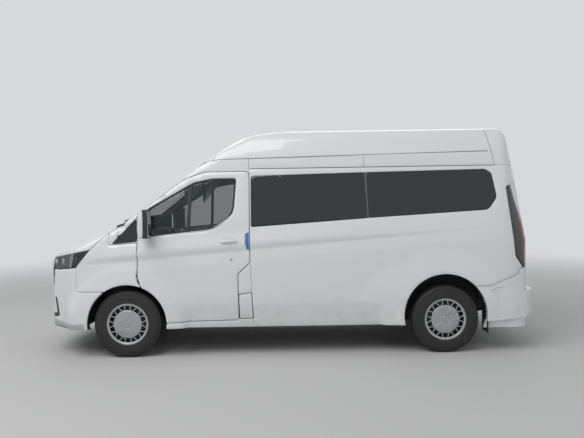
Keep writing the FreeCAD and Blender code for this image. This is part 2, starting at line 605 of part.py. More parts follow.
gate = fuse([layer("skin", "flange", grown(TAILGATE, 0, "yz", TAILGATE_X, 3000)),
             layer("flange", "inside", grown(TAILGATE, -18, "yz", TAILGATE_X, 3000))])
seat_cut = grown(TAILGATE_GLASS, 0.5, "yz", TAILGATE_X, 3000).cut(LAYERS["glass_in"])
gate = gate.cut([seat_cut, grown(TAILGATE_GLASS, -28, "yz", TAILGATE_X, 3000)])
for eye, clear in tailgate_parts:
    gate = gate.cut(clear).fuse(eye)
for side, sign in SIDES:
    x, z = TAILGATE_PIVOT
    gate = gate.cut(rod(PIN_RADIUS + S["spindle_fit"], V(x, 400 * sign, z), V(x, 460 * sign, z)))
feature("tailgate", biggest(gate))
feature("tailgate_glass", biggest(layer("glass_out", "glass_in", grown(TAILGATE_GLASS, 0, "yz", TAILGATE_X, 3000))))

lens = layer("skin", None, grown(TAIL_LAMP, 0)).cut(box(0, 3000, -LAMP_EDGE, LAMP_EDGE, 0, TALL)).cut(LAYERS["thin"])
feature("tail_lamps", two_largest(lens))
lamp = layer("skin", "glass_in", lamp_zone)
feature("headlamp_lenses", two_largest(lamp))

# Floor and structure

LINER = 430
LINER_THICK = 6
LINER_INNER_Y = 555
REAR_LINER = 446
REAR_LINER_Y = 640
RAIL_FEET = 500
RAIL = (440, 520)
RAIL_LOW = 430


def ring(x, lift, radius, low_y, high_y):
    """Sheet of a wheel housing, bent round the wheel."""
    return arch(x, lift, radius, low_y, high_y).cut(arch(x, lift, radius - LINER_THICK, low_y, high_y))


def both(shape):
    return fuse([shape, mirrored(shape)])


def front_wheels(radius):
    """Room for the front wheels, one drum a side."""
    return [arch(FRONT, 0, radius, -WIDE, -LINER_INNER_Y), arch(FRONT, 0, radius, LINER_INNER_Y, WIDE)]


liners = both(ring(FRONT, 0, LINER, -WIDE, -LINER_INNER_Y)).common(box(-2200, -1200, -WIDE, WIDE, 335, 900))
before_door = box(-2200, -1572, -WIDE, WIDE, 0, TALL)
liners = fuse([common(liners, LAYERS["frame_out"]), common(liners, LAYERS["thin"], before_door)])
firewall = common(LAYERS["frame_in"], box(-1712, -1690, -900, 900, 500, 1400))
firewall = firewall.cut(front_wheels(LINER - LINER_THICK))
cowl_beam = common(LAYERS["thin"], round_nose(COWL_RADII[1] - 10, 1100), box(-2200, -1690, -820, 820, 1150, 1400))
cowl_beam = cowl_beam.cut([LAYERS["frame_in"], roof])
posts = layer("thin", "frame_in", box(-1612, -1562, -WIDE, 0, 700, 1190))
posts = both(posts.cut(arch(FRONT, 0, LINER - LINER_THICK)))
front_rails = [
    common(box(-2560, -1255, sign * RAIL[0], sign * RAIL[1], RAIL_LOW, 520), LAYERS["frame_in"])
    for side, sign in SIDES]
bumper_beam = layer("inside", "frame_in", box(-2800, -2300, -620, 620, RAIL_LOW, 520))
brackets = [
    layer("thin", "frame_in", box(-2800, -2300, sign * RAIL[0], sign * RAIL[1], 435, 515))
    for side, sign in SIDES]
slam_panel = common(LAYERS["thin"], box(-2800, -2400, -760, 760, 885, 911))
slam_panel = slam_panel.cut([box(-2800, -2530, y - 13, y + 13, 880, 915) for y in GRILLE_TIES])
radiator = box(-2440, -2390, -400, 400, RAIL_LOW, 885)
crossmembers = [box(x0, x1, -520, 520, 395, RAIL_LOW) for x0, x1 in ((-2450, -2380), (-2120, -2000))]
towers = both(fuse([box(-1740, -1600, -545, -505, 520, 716), box(-1740, -1600, -680, -505, 700, 716)]))
structure = fuse([liners, firewall, cowl_beam, bumper_beam, slam_panel, radiator, towers, posts]
                 + crossmembers + front_rails + brackets + door_arms + bonnet_posts)
structure = biggest(structure.cut(wings))
feature("front_structure", structure)

slab = common(LAYERS["frame_in"], box(-1262, 2480, -WIDE, WIDE, FLOOR - S["floor_depth"], FLOOR))
nose_slab = box(-1700, -1262, -LINER_INNER_Y, LINER_INNER_Y, FLOOR - S["floor_depth"], FLOOR)
above_rear_wheels = box(1000, 2300, -WIDE, WIDE, 500, 900)
rear_house = both(ring(REAR, S["rear_arch_lift"], REAR_LINER, -930, -REAR_LINER_Y))
rear_house = common(rear_house, above_rear_wheels, LAYERS["inside"])
house_wall = both(arch(REAR, S["rear_arch_lift"], REAR_LINER, -REAR_LINER_Y - LINER_THICK, -REAR_LINER_Y))
house_wall = house_wall.common(above_rear_wheels)
rails = [box(-1262, 2440, sign * 500, sign * 580, 440, RAIL_FEET) for side, sign in SIDES]
ribs = [box(x, x + 60, -860, 860, 470, RAIL_FEET) for x in (-900, -100, 700)]
JACK_PAD_X = (-1040, -960)
JACK_PAD_LOW = 425
jack_pads = [box(*JACK_PAD_X, sign * 500, sign * 580, JACK_PAD_LOW, 440) for side, sign in SIDES]
rear_beam = common(LAYERS["inside"], box(2440, 2530, -838, 838, RAIL_FEET, TAILGATE_FOOT - GAP))
rear_wheels = [
    arch(REAR, S["rear_arch_lift"], REAR_LINER - LINER_THICK, *limits)
    for limits in ((-WIDE, -REAR_LINER_Y), (REAR_LINER_Y, WIDE))]
floor = fuse([slab.cut(rear_wheels), nose_slab, rear_house, house_wall, rear_beam] + rails + ribs + jack_pads)
floor = floor.cut(front_wheels(LINER))
sills = frame.common(box(-1300, 2500, -WIDE, WIDE, 300, 700))
feature("floor", biggest(floor.cut([sills, structure])))

# Headlamps: a housing with two bowls a side

BOWLS = ((620, 975), (735, 985))
housing = layer("glass_in", "frame_in", lamp_zone)
bowls = [rod(46, V(-2800, sign * y, z), V(-2440, sign * y, z)) for side, sign in SIDES for y, z in BOWLS]
housing = housing.cut(common(fuse(bowls), LAYERS["glass_in"]).cut(hull(80, 80)))
feature("headlamps", two_largest(housing))

# Rear bumper: corners that continue the sides, and a beam that stands proud

BEAM_TOP = TAILGATE_FOOT - GAP
BEAM_PLAN = [
    (2180, 975, 0), (2330, 968, 300), (2505, 905, 160), (2598, 800, 120, -72), (2598, -800, 120),
    (2505, -905, 160), (2330, -968, 300), (2180, -975, 0),
]
BEAM_PROFILE = [
    (2180, 336), (2180, BEAM_TOP), (2642, BEAM_TOP, 20), (2670, 600, 30), (2670, 480, 60), (2610, 400, 80),
    (2480, 352, 100),
]
BEAM_WALL = 30
corners = layer("skin", "thin", grown(REAR_BUMPER, 0))
corners = corners.cut([REAR_ARCH, box(2000, 3000, -LAMP_EDGE, LAMP_EDGE, 0, TALL)])
beam = common(prism_z(BEAM_PLAN, 330, BEAM_TOP), prism_y(BEAM_PROFILE, -WIDE, WIDE))
inner_plan = [(x - BEAM_WALL, y * 0.97, *rest) for x, y, *rest in BEAM_PLAN]
inner_profile = [(x - BEAM_WALL, z + 5, *rest) for x, z, *rest in BEAM_PROFILE]
hollow = common(prism_z(inner_plan, 300, BEAM_TOP - BEAM_WALL), prism_y(inner_profile, -WIDE, WIDE))
beam = beam.cut([hollow, box(2100, 2530, -838, 838, 300, 700)])
rear_bumper = biggest(fuse([corners, beam]).cut([tail_hole, REAR_ARCH]))
feature("rear_bumper", rear_bumper)

# Pieces made of primitives, bound to the sheet


def bind(item, placement, sizes):
    """Sets an object's sizes and place, each a number or an expression in the sheet's names."""
    item.Placement = placement
    for key, value in sizes.items():
        if isinstance(value, str):
            item.setExpression(key, value)
        else:
            setattr(item, key, value)
    return item


def solid(kind, name, place, aim=V(0, 0, 1), **sizes):
    """A primitive whose own Z axis points along aim."""
    item = doc.addObject(f"Part::{kind}", name)
    return bind(item, FreeCAD.Placement(V(*place), FreeCAD.Rotation(V(0, 0, 1), V(aim))), sizes)


def registered(item):
    item.Label = item.Name
    NODES.append(item)
    return item


def joined(name, items):
    """One sub-part from several objects."""
    whole = doc.addObject("Part::MultiFuse", name)
    whole.Shapes = items
    whole.Refine = True
    return registered(whole)


AXLE_Y = 812
SPINDLE_Y = 925
ALONG_AXLE = V(0, 1, 0)
rear_axle = [
    solid("Cylinder", "axle_tube", (REAR, -AXLE_Y, WHEEL_Z), ALONG_AXLE, Radius="Sizes.axle_radius",
          Height=2 * AXLE_Y),
    solid("Cylinder", "axle_spindles", (REAR, -SPINDLE_Y, WHEEL_Z), ALONG_AXLE, Radius="Sizes.spindle_radius",
          Height=2 * SPINDLE_Y),
    solid("Sphere", "axle_casing", (REAR, 0, WHEEL_Z), Radius=150),
    solid("Cylinder", "pinion_nose", (REAR, 0, WHEEL_Z), V(-1, 0, 0), Radius=60, Height=220),
]
for side, sign in SIDES:
    rear_axle.append(solid("Cylinder", f"{side}_rear_brake", (REAR, sign * 796, WHEEL_Z), V(0, sign, 0),
                           Radius=140, Height=10))
joined("rear_axle", rear_axle)
PINION_FRONT = REAR - 220
GEARBOX_REAR = -1150
registered(solid("Cylinder", "prop_shaft", (GEARBOX_REAR, 0, WHEEL_Z), V(1, 0, 0), Radius=38,
                 Height=PINION_FRONT - GEARBOX_REAR))
joined("engine_block", [
    solid("Box", "engine", (-2350, -330, RAIL_LOW), Length=550, Width=660, Height=620),
    solid("Box", "gearbox", (-1800, -130, 310), Length=1800 + GEARBOX_REAR, Width=260, Height=180),
])

for side, sign in SIDES:
    y = sign * S["kingpin_from_middle"]
    outward = V(0, sign, 0)
    low_brake, high_brake = sorted((y + sign * 10, y - sign * 10))
    low_arm, high_arm = sorted((y, y - sign * 20))
    joined(f"{side}_knuckle", [
        solid("Cylinder", f"{side}_kingpin", (FRONT, y, 205), Radius="Sizes.kingpin_radius", Height=300),
        solid("Cylinder", f"{side}_post", (FRONT, y, 245), Radius=26, Height=215),
        solid("Cylinder", f"{side}_spindle", (FRONT, y, WHEEL_Z), outward, Radius="Sizes.spindle_radius",
              Height=f"{SPINDLE_Y} - Sizes.kingpin_from_middle"),
        solid("Box", f"{side}_calliper", (FRONT - 45, low_brake, WHEEL_Z - 60), Length=90,
              Width=high_brake - low_brake, Height=120),
        solid("Box", f"{side}_steering_arm", (FRONT, low_arm, WHEEL_Z - 30), Length=150, Width=20, Height=35),
    ])

WHEEL_AT = V(-1215, -430, 1150)
AIM = V(0.82, 0, 0.57).normalize()


def along_column(distance):
    return tuple(WHEEL_AT + AIM * distance)


spokes = []
for number, angle in enumerate((0, 90, 270)):
    spoke = doc.addObject("Part::Box", f"spoke_{number}")
    face = FreeCAD.Rotation(V(0, 0, 1), AIM)
    turn = face.multiply(FreeCAD.Rotation(V(0, 0, 1), angle))
    start = WHEEL_AT + turn.multVec(V(0, -16, -24))
    sizes = {"Length": "Sizes.steer_radius - 10", "Width": 32, "Height": 14}
    spokes.append(bind(spoke, FreeCAD.Placement(start, turn), sizes))
joined("steering_wheel", spokes + [
    solid("Torus", "wheel_rim", along_column(0), AIM, Radius1="Sizes.steer_radius", Radius2="Sizes.steer_rim"),
    solid("Cylinder", "wheel_boss", along_column(-34), AIM, Radius=55, Height=34),
    solid("Cylinder", "column_shaft", along_column(-145), AIM, Radius="Sizes.column_radius", Height=140),
])

SPARE_X = 2180
SPARE_LOW = 318
spare_tyre = doc.addObject("Part::Cut", "spare_tyre")
spare_tyre.Base = solid("Cylinder", "spare_drum", (SPARE_X, 0, SPARE_LOW), Radius="Sizes.tyre_radius - 10",
                        Height=180)
spare_tyre.Tool = solid("Cylinder", "spare_hollow", (SPARE_X, 0, SPARE_LOW), Radius="Sizes.rim_radius - 18",
                        Height=110)
joined("spare_wheel", [
    spare_tyre,
    solid("Box", "spare_hanger", (SPARE_X - 40, -20, SPARE_LOW + 172), Length=80, Width=40,
          Height=RAIL_FEET - SPARE_LOW - 172),
])

# Fuel tank and exhaust

feature("fuel_tank", prism_x([(-430, 300, 40), (-430, RAIL_FEET), (-95, RAIL_FEET), (-95, 300, 40)], 0, 690))
PIPE_Y = 420
TIP_WALL = 4
TIP_LENGTH = 100
OUTLET_Z = 385
front_route = [V(-1300, 250, 400), V(-1000, 250, 370), V(-700, PIPE_Y, 370), V(300, PIPE_Y, 370)]
rear_route = [
    V(900, PIPE_Y, 370), V(1300, PIPE_Y, 456), V(1950, PIPE_Y, 456), V(2250, PIPE_Y, OUTLET_Z),
    V(2515, PIPE_Y, OUTLET_Z),
]
exhaust = []
for path in (front_route, rear_route):
    exhaust += [rod(S["exhaust_radius"], a, b) for a, b in zip(path, path[1:])]
    exhaust += [Part.makeSphere(S["exhaust_radius"], bend) for bend in path[1:-1]]
muffler = rod(95, V(290, PIPE_Y, 370), V(910, PIPE_Y, 370))
exhaust.append(muffler.common(box(280, 920, 320, 498, 270, 460)))
exhaust += [box(x - 6, x + 6, PIPE_Y - 6, PIPE_Y + 6, z, RAIL_FEET) for x, z in ((400, 440), (860, 440), (1850, 470))]
tail_end = rear_route[-1]
exhaust.append(rod(S["exhaust_radius"] + TIP_WALL, tail_end - V(TIP_LENGTH, 0, 0), tail_end))
tail_bore = rod(S["exhaust_radius"] - TIP_WALL, tail_end - V(60, 0, 0), tail_end)
feature("exhaust", fuse(exhaust).cut(tail_bore))

# Seats


def seat(x, y, width, cushion, back_top):
    """One seat: cushion front at x, cushion top at the given height."""
    pad = [
        (x, cushion - 110, 30), (x, cushion, 50), (x + 400, cushion - 20, 0), (x + 470, cushion - 20, 0),
        (x + 470, cushion - 115, 20),
    ]
    back = [
        (x + 385, cushion - 30, 30), (x + 490, back_top, 60), (x + 590, back_top, 60), (x + 520, cushion - 60, 30),
    ]
    head = [
        (x + 470, back_top + 15, 30), (x + 490, back_top + 165, 40), (x + 570, back_top + 165, 40),
        (x + 560, back_top + 15, 30),
    ]
    low, high = y - width / 2, y + width / 2
    stalks = box(x + 505, x + 535, y - 60, y + 60, back_top - 20, back_top + 30)
    return [prism_y(pad, low, high), prism_y(back, low + 4, high - 4), prism_y(head, y - 130, y + 130), stalks]


CAB_SEAT = (-1030, 430, 500, 950, 1480)
FIRST_ROW = -20
ROWS = 3
front = []
for side, sign in SIDES:
    x, y, width, cushion, back_top = CAB_SEAT
    front += seat(x, sign * y, width, cushion, back_top)
    front.append(box(x + 50, x + 470, sign * y - 200, sign * y + 200, FLOOR, cushion - 90))
feature("front_seats", Part.makeCompound(fuse(front).Solids))
benches = []
for row in range(ROWS):
    x = FIRST_ROW + row * S["seat_pitch"]
    bench = []
    for place in (-1, 0, 1):
        bench += seat(x, place * S["seat_width"], S["seat_width"], 980, 1460)
    bench += [box(x + 40, x + 420, y - 25, y + 25, FLOOR, 880) for y in (-560, 0, 560)]
    benches += fuse(bench).Solids
feature("rear_seats", Part.makeCompound(benches))

# Dashboard, with the steering column's tube

DASH = [
    (-1690, 730), (-1690, 1290), (-1560, 1285, 60), (-1400, 1225, 80), (-1340, 1120, 60), (-1400, 950, 80),
    (-1490, 750, 40), (-1560, 730),
]
dash = common(LAYERS["frame_in"], prism_y(DASH, -870, 870)).cut(front_wheels(LINER))
dash = dash.fuse(rod(46, WHEEL_AT - AIM * 70, WHEEL_AT - AIM * 330))
column_bore = rod(S["column_radius"] + S["spindle_fit"], WHEEL_AT - AIM * 60, WHEEL_AT - AIM * 150)
feature("dashboard", biggest(dash.cut(column_bore)))

# Front suspension, leaf springs

ARM_THICK = 27
KINGPIN_Y = S["kingpin_from_middle"]


def tapered(root_half, root_y, tip_half, tip_y):
    """Plan of an arm about the front axle, wide at its root and narrow at its tip."""
    return [(FRONT - root_half, -root_y), (FRONT - tip_half, -tip_y), (FRONT + tip_half, -tip_y),
            (FRONT + root_half, -root_y)]


ARMS = ((212, 150, 470), (465, 120, 520))
arms = []
for z, reach, root in ARMS:
    eye_at = V(FRONT, -KINGPIN_Y, z)
    bore = Part.makeCylinder(S["kingpin_radius"] + S["spindle_fit"], ARM_THICK, eye_at)
    wishbone = prism_z(tapered(reach, root, 28, KINGPIN_Y), z, z + ARM_THICK)
    window = prism_z(tapered(95, root, 15, 690), z, z + ARM_THICK)
    arms.append(wishbone.cut(window).fuse(Part.makeCylinder(30, ARM_THICK, eye_at)).cut(bore))
subframe = fuse([box(-1760, -1580, -480, 480, 245, 300)] + [
    box(-1760, -1580, sign * 400, sign * 480, 245, RAIL_LOW) for side, sign in SIDES] + [
    box(-1830, -1510, sign * 430, sign * 480, 205, 300) for side, sign in SIDES])
damper = rod(S["strut_radius"], V(FRONT, -640, 235), V(FRONT, -605, 697.5))
coil = rod(50, V(FRONT, -624, 450), V(FRONT, -608, 670))
feature("front_suspension", fuse([both(fuse(arms + [damper, coil])), subframe]))

LEAF = [(980, 440, 0, 0), (980, 424, 0, 134), (2280, 424, 0, 0), (2280, 440, 0, -132)]
leaf = outline(LEAF)
leaf.translate(V(0, -540 - S["spring_width"] / 2, 0))
leaf = leaf.extrude(V(0, S["spring_width"], 0))
feature("leaf_springs", Part.makeCompound([leaf, mirrored(leaf)]))

# Mud flaps and wipers

flaps = [box(2070, 2076, sign * 770, sign * 965, 200, 450) for side, sign in SIDES]
feature("mud_flaps", Part.makeCompound([biggest(flap.cut(rear_bumper)) for flap in flaps]))
wiper_layer = hull(-12).cut(LAYERS["glass_out"])
wipers = []
for start, end in ((-560, 60), (140, 740)):
    blade = grown([(start, 1404), (start, 1422), (end, 1452), (end, 1440)], 0, "yz", -2100, -1500)
    wipers += common(blade, wiper_layer).Solids
feature("wipers", Part.makeCompound(wipers))

# Wheels and tyres: half-section as radius and width, measured from the wheel's middle


def sheet_value(expression):
    """What an expression in the sheet's names comes to."""
    for name in sorted(S, key=len, reverse=True):
        expression = expression.replace(f"Sizes.{name}", repr(S[name]))
    return FreeCAD.Units.Quantity(expression).Value


def turned(name, profile):
    """A body turned about its own Y axis, with every corner bound to the sheet."""
    body = doc.addObject("PartDesign::Body", name)
    sketch = body.newObject("Sketcher::SketchObject", f"{name}_section")
    sketch.AttachmentSupport = [(plane_of(body, "XY_Plane"), "")]
    sketch.MapMode = "FlatFace"
    values = [(sheet_value(radius), sheet_value(width)) for radius, width in profile]
    for i, start in enumerate(values):
        end = values[(i + 1) % len(values)]
        sketch.addGeometry(Part.LineSegment(V(*start, 0), V(*end, 0)), False)
    for i in range(len(values)):
        sketch.addConstraint(Sketcher.Constraint("Coincident", i, 2, (i + 1) % len(values), 1))
    for i, (radius, width) in enumerate(profile):
        if values[i][0] == 0:
            sketch.addConstraint(Sketcher.Constraint("PointOnObject", i, 1, -2))
        else:
            at = sketch.addConstraint(Sketcher.Constraint("DistanceX", -1, 1, i, 1, values[i][0]))
            sketch.setExpression(f"Constraints[{at}]", radius)
        at = sketch.addConstraint(Sketcher.Constraint("DistanceY", -1, 1, i, 1, values[i][1]))
        sketch.setExpression(f"Constraints[{at}]", width)
    turn = body.newObject("PartDesign::Revolution", f"{name}_turn")
    turn.Profile = sketch
    turn.ReferenceAxis = (sketch, ["V_Axis"])
    turn.Angle = 360
    body.Tip = turn
    return registered(body)


def plane_of(body, role):
    return next(item for item in body.Origin.OriginFeatures if item.Role == role)


SLOTS = 18
# One slot of the wheel cover, wider outside: radius, half-width
SLOT = ((148, 3), (184, 15))
# From the rim's outer plane, which stands proud of the cover
SLOT_DEPTH = 26


def slotted(body):
    """Cuts the ring of slots into a wheel's outer face."""
    sketch = body.newObject("Sketcher::SketchObject", f"{body.Name}_slot")
    sketch.AttachmentSupport = [(plane_of(body, "XZ_Plane"), "")]
    sketch.MapMode = "FlatFace"
    sketch.setExpression("AttachmentOffset.Base.z", "-Sizes.tyre_width / 2")
    (inner, narrow), (outer, wide) = SLOT
    corners = [(inner, -narrow), (outer, -wide), (outer, wide), (inner, narrow)]
    for i, start in enumerate(corners):
        end = corners[(i + 1) % 4]
        sketch.addGeometry(Part.LineSegment(V(*start, 0), V(*end, 0)), False)
    for i in range(4):
        sketch.addConstraint(Sketcher.Constraint("Coincident", i, 2, (i + 1) % 4, 1))
    for i, (u, v) in enumerate(corners):
        sketch.addConstraint(Sketcher.Constraint("DistanceX", -1, 1, i, 1, u))
        sketch.addConstraint(Sketcher.Constraint("DistanceY", -1, 1, i, 1, v))
    pocket = body.newObject("PartDesign::Pocket", f"{body.Name}_pocket")
    pocket.Profile = sketch
    pocket.Length = SLOT_DEPTH
    pocket.Reversed = True
    pattern = body.newObject("PartDesign::PolarPattern", f"{body.Name}_slots")
    pattern.Originals = [pocket]
    pattern.Axis = (sketch, ["N_Axis"])
    pattern.Angle = 360
    pattern.Occurrences = SLOTS
    body.Tip = pattern


T = "Sizes.tyre_radius"
W = "Sizes.tyre_width / 2"
B = "Sizes.rim_radius"
L = "Sizes.rim_lip"
H = "Sizes.spindle_radius + Sizes.spindle_fit"
TYRE = [
    (B, f"{W} - 14"), (f"{B} + 34", W), (f"{T} - 22", f"{W} - 4"), (T, f"{W} - 34"), (T, f"-{W} + 34"),
    (f"{T} - 22", f"-{W} + 4"), (f"{B} + 34", f"-{W}"), (B, f"-{W} + 14"), (B, f"-{W} + 30"),
    (f"{T} - 16", f"-{W} + 24"), (f"{T} - 16", f"{W} - 24"), (B, f"{W} - 30"),
]
WHEEL = [
    ("0", "68"), ("0", f"{W} - 12"), ("110", f"{W} - 8"), ("192", f"{W} - 16"), (f"{L} - 6", W),
    (L, f"{W} - 2"), (L, f"{W} - 9.4"), (B, f"{W} - 13.6"), (B, f"{W} - 34"), (f"{B} - 22", "30"),
    (f"{B} - 22", "-40"), (B, f"-{W} + 34"), (B, f"-{W} + 13.6"), (L, f"-{W} + 9.4"), (L, f"-{W} + 2"),
    (f"{B} - 8", f"-{W} + 2"), (f"{B} - 32", "-40"), (f"{B} - 32", "24"), ("80", "44"), ("62", "-20"),
    (H, "-20"), (H, "68"),
]
OVERALL = "(Sizes.front_overhang + Sizes.wheelbase + Sizes.rear_overhang) / 2"
AXLES = (
    ("front", FRONT, f"-{OVERALL} + Sizes.front_overhang"),
    ("rear", REAR, f"{OVERALL} - Sizes.rear_overhang"),
)
for end, x, x_expression in AXLES:
    for side, sign in SIDES:
        facing = FreeCAD.Rotation(V(0, 0, 1), 180 if sign < 0 else 0)
        for kind, profile in (("tyre", TYRE), ("wheel", WHEEL)):
            body = turned(f"{side}_{end}_{kind}", profile)
            if kind == "wheel":
                slotted(body)
            body.Placement = FreeCAD.Placement(V(x, sign * S["half_track"], WHEEL_Z), facing)
            body.setExpression("Placement.Base.x", x_expression)
            body.setExpression("Placement.Base.y", f"{sign} * Sizes.half_track")
            body.setExpression("Placement.Base.z", T)
doc.recompute()

# Check every object, then write the parts

faults = [item.Name for item in doc.Objects if "Invalid" in item.State or "Error" in item.State]
faults += [item.Label for item in NODES if item.Shape.isNull() or not item.Shape.isValid()]
if faults:
    raise RuntimeError(f"failed: {faults}")
for item in NODES:
    item.Shape.exportStep(f"parts/{item.Label}.step")
print(len(NODES), "parts")
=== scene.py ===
# %% [markdown]
# # A white high-roof minibus
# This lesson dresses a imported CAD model. The CAD solids stay where they are. Each panel that a
# person would see gets a skin with rolled edges, drawn from the same few body forms that the CAD
# hull is made of, so every skin meets its neighbours with an even gap. All lengths are in metres.

# %% Load the frame
import math

import bmesh
import bpy
import numpy as np
from mathutils import Matrix, Vector
from mathutils.geometry import delaunay_2d_cdt


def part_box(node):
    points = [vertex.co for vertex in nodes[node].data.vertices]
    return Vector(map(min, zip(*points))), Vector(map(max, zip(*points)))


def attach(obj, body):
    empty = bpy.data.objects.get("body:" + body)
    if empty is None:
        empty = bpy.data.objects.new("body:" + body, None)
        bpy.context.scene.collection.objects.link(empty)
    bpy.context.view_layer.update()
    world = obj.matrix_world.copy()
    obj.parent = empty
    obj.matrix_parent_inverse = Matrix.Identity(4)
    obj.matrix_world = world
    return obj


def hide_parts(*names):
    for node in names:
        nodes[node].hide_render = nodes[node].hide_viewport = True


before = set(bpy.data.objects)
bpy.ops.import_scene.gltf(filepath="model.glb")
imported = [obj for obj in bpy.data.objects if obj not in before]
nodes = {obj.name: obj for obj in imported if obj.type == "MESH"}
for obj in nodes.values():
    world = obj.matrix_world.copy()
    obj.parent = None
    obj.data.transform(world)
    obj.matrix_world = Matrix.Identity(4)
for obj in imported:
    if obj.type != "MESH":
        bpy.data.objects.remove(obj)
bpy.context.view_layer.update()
MM = 0.001

# %% [markdown]
# ## Places that the frame gives
# The wheels, the steering wheel and the bumpers sit where the CAD nodes sit. Reading the wheels'
# places from the frame keeps every later piece on its seat.

# %% Wheel centres and overall reach
def middle(name):
    a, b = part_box(name)
    return (a + b) / 2


FRONT = middle("left_front_tyre").x
REAR = middle("left_rear_tyre").x
WHEEL_Z = middle("left_front_tyre").z
TYRE_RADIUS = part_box("left_front_tyre")[1].z / 2
HALF = 0.985
ROOF = 2.390
SIDES = (("left", -1), ("right", 1))
print("axles", round(FRONT, 3), round(REAR, 3), "tyre radius", round(TYRE_RADIUS, 3))

# %% [markdown]
# ## Outlines with rounded corners
# A panel's outline is a short list of corners, each with its radius. A quadratic curve through a
# corner looks softer than a true arc, as pressed sheet metal does, and needs only a few points.

# %% Rounded corners
def rounded(points, closed=False, pieces=7):
    """Corners (u, v, radius) in millimetres, as a line of points in metres."""
    corners = [np.array(p[:2], float) * MM for p in points]
    radii = [(p[2] if len(p) > 2 else 0) * MM for p in points]
    line = []
    for i, here in enumerate(corners):
        if radii[i] == 0 or (not closed and i in (0, len(corners) - 1)):
            line.append(here)
            continue
        back = corners[i - 1] - here
        ahead = corners[(i + 1) % len(corners)] - here
        back_length, ahead_length = np.linalg.norm(back), np.linalg.norm(ahead)
        cosine = np.clip(back @ ahead / (back_length * ahead_length), -1, 1)
        turn = math.pi - math.acos(cosine)
        reach = min(radii[i] * math.tan(turn / 2), 0.49 * back_length, 0.49 * ahead_length)
        start = here + back / back_length * reach
        end = here + ahead / ahead_length * reach
        for t in np.linspace(0, 1, pieces):
            line.append((1 - t) ** 2 * start + 2 * t * (1 - t) * here + t * t * end)
    return np.array(line)


# %% [markdown]
# ## The body as a few simple forms
# Seen from the side, the front, above and along the nose, such a body is a handful of plain
# curves. Its skin is what all of them have in common. Each form tells how far a point lies inside
# it, and a soft minimum of these distances rounds the places where two forms meet.

# %% Look-up tables for the forms
GRID = 0.002
LOW_END, HIGH_END = -0.5, 3.2


class Profile:
    """Half-width, or reach, as a function of height or length, with its slope."""

    def __init__(self, line, low=LOW_END, high=HIGH_END):
        order = np.argsort(line[:, 1], kind="stable")
        line = line[order]
        self.grid = np.arange(low, high, GRID)
        self.value = np.interp(self.grid, line[:, 1], line[:, 0])
        self.slope = np.gradient(self.value, GRID)

    def inside(self, at, reach):
        """Distance inside the curve, for points at a height and a reach."""
        value = np.interp(at, self.grid, self.value)
        slope = np.interp(at, self.grid, self.slope)
        return (value - reach) / np.sqrt(1 + slope * slope)


def soft_min(a, b, width):
    blend = np.clip(0.5 + 0.5 * (b - a) / width, 0, 1)
    return b + (a - b) * blend - width * blend * (1 - blend)


def smooth(value, start, end):
    t = np.clip((value - start) / (end - start), 0, 1)
    return t * t * (3 - 2 * t)


# %% The forms of this body
# Whole cross-section: half-width less HALF, height, corner radius
SECTION = [
    (-70, 100, 0), (-55, 300, 60), (0, 560, 500), (10, 800, 0), (10, 1150, 120), (-18, 1300, 200),
    (-140, 1950, 60), (-160, 2105, 60), (-235, 2290, 90), (-295, 2345, 60),
]
# Lower body with its shoulder crease, which climbs towards the tail
CREASE = [
    (0, -600, 0), (0, 1020, 200), (-16, 1134, 24), (3, 1199, 10), (-34, 1330, 200), (-46, 1500, 300),
    (-46, 3400, 0),
]
CREASE_RISE = 0.078
# Over the bonnet, climbing towards the windscreen
BROW = [
    (20, -900, 0), (20, 1120, 100), (-14, 1205, 90), (-70, 1285, 160), (-285, 1352, 300), (-785, 1392, 0),
    (-985, 1394, 0), (-3000, 1500, 0),
]
BROW_X = -1.921
BROW_RISE = 0.45
BROW_END = -1.710
# Nose on the middle line: length ahead of the front axle, height
NOSE = [
    (-1000, 0, 0), (-1000, 430, 200), (-974, 700, 500), (-950, 990, 60), (-872, 1092, 120),
    (-790, 1160, 250), (-640, 1234, 600), (-400, 1324, 500), (-168, 1390, 60), (567, 1955, 300),
    (851, 2147, 400), (1150, 2310, 500), (1500, 2368, 500), (2200, 2440, 0), (3000, 2600, 0),
]
NOSE_AXIS = 3.0
# Tail in side view, behind the rear axle
TAIL = [
    (962, 0, 0), (962, 875, 400), (950, 1165, 900), (912, 1512, 900), (862, 1772, 900), (818, 2001, 600),
    (722, 2252, 220), (640, 2360, 120), (480, 2420, 0), (-600, 2600, 0),
]
# Half plan: length from the nearer axle, half-width less HALF
PLAN_FRONT = [(-885, -345, 120), (-560, -40, 320), (-120, 12, 900)]
PLAN_REAR = [(330, 12, 900), (700, -32, 500), (885, -125, 110)]
PLAN_REAR_TOP = [(330, 12, 900), (600, -140, 500), (705, -285, 150)]
PLAN_BREAK = 1.165
PLAN_TOP = 2.400
NOSE_BOW = 0.115
TAIL_BOW = 0.080
# The roof's crown: how far it falls at a half-width, and where it meets the section's line
CROWN_DROP = 0.045
CROWN_HALF = 0.690
CROWN_FROM = 0.680


def from_middle(points):
    return [(HALF / MM + y, z, r) for y, z, r in points]


section_line = rounded(from_middle(SECTION))
crown = [(y, ROOF - CROWN_DROP * (y / CROWN_HALF) ** 2) for y in np.linspace(CROWN_FROM, 0, 20)]
section_line = np.vstack([section_line, crown, [(-4, ROOF + 0.004)]])
section_form = Profile(section_line)
crease_form = Profile(rounded(from_middle(CREASE)))
brow_form = Profile(rounded(from_middle(BROW)), low=-0.8)
nose_line = rounded([(NOSE_AXIS / MM - x, z, r) for x, z, r in NOSE])
nose_form = Profile(nose_line)
tail_form = Profile(rounded([(REAR / MM + x, z, r) for x, z, r in TAIL]))


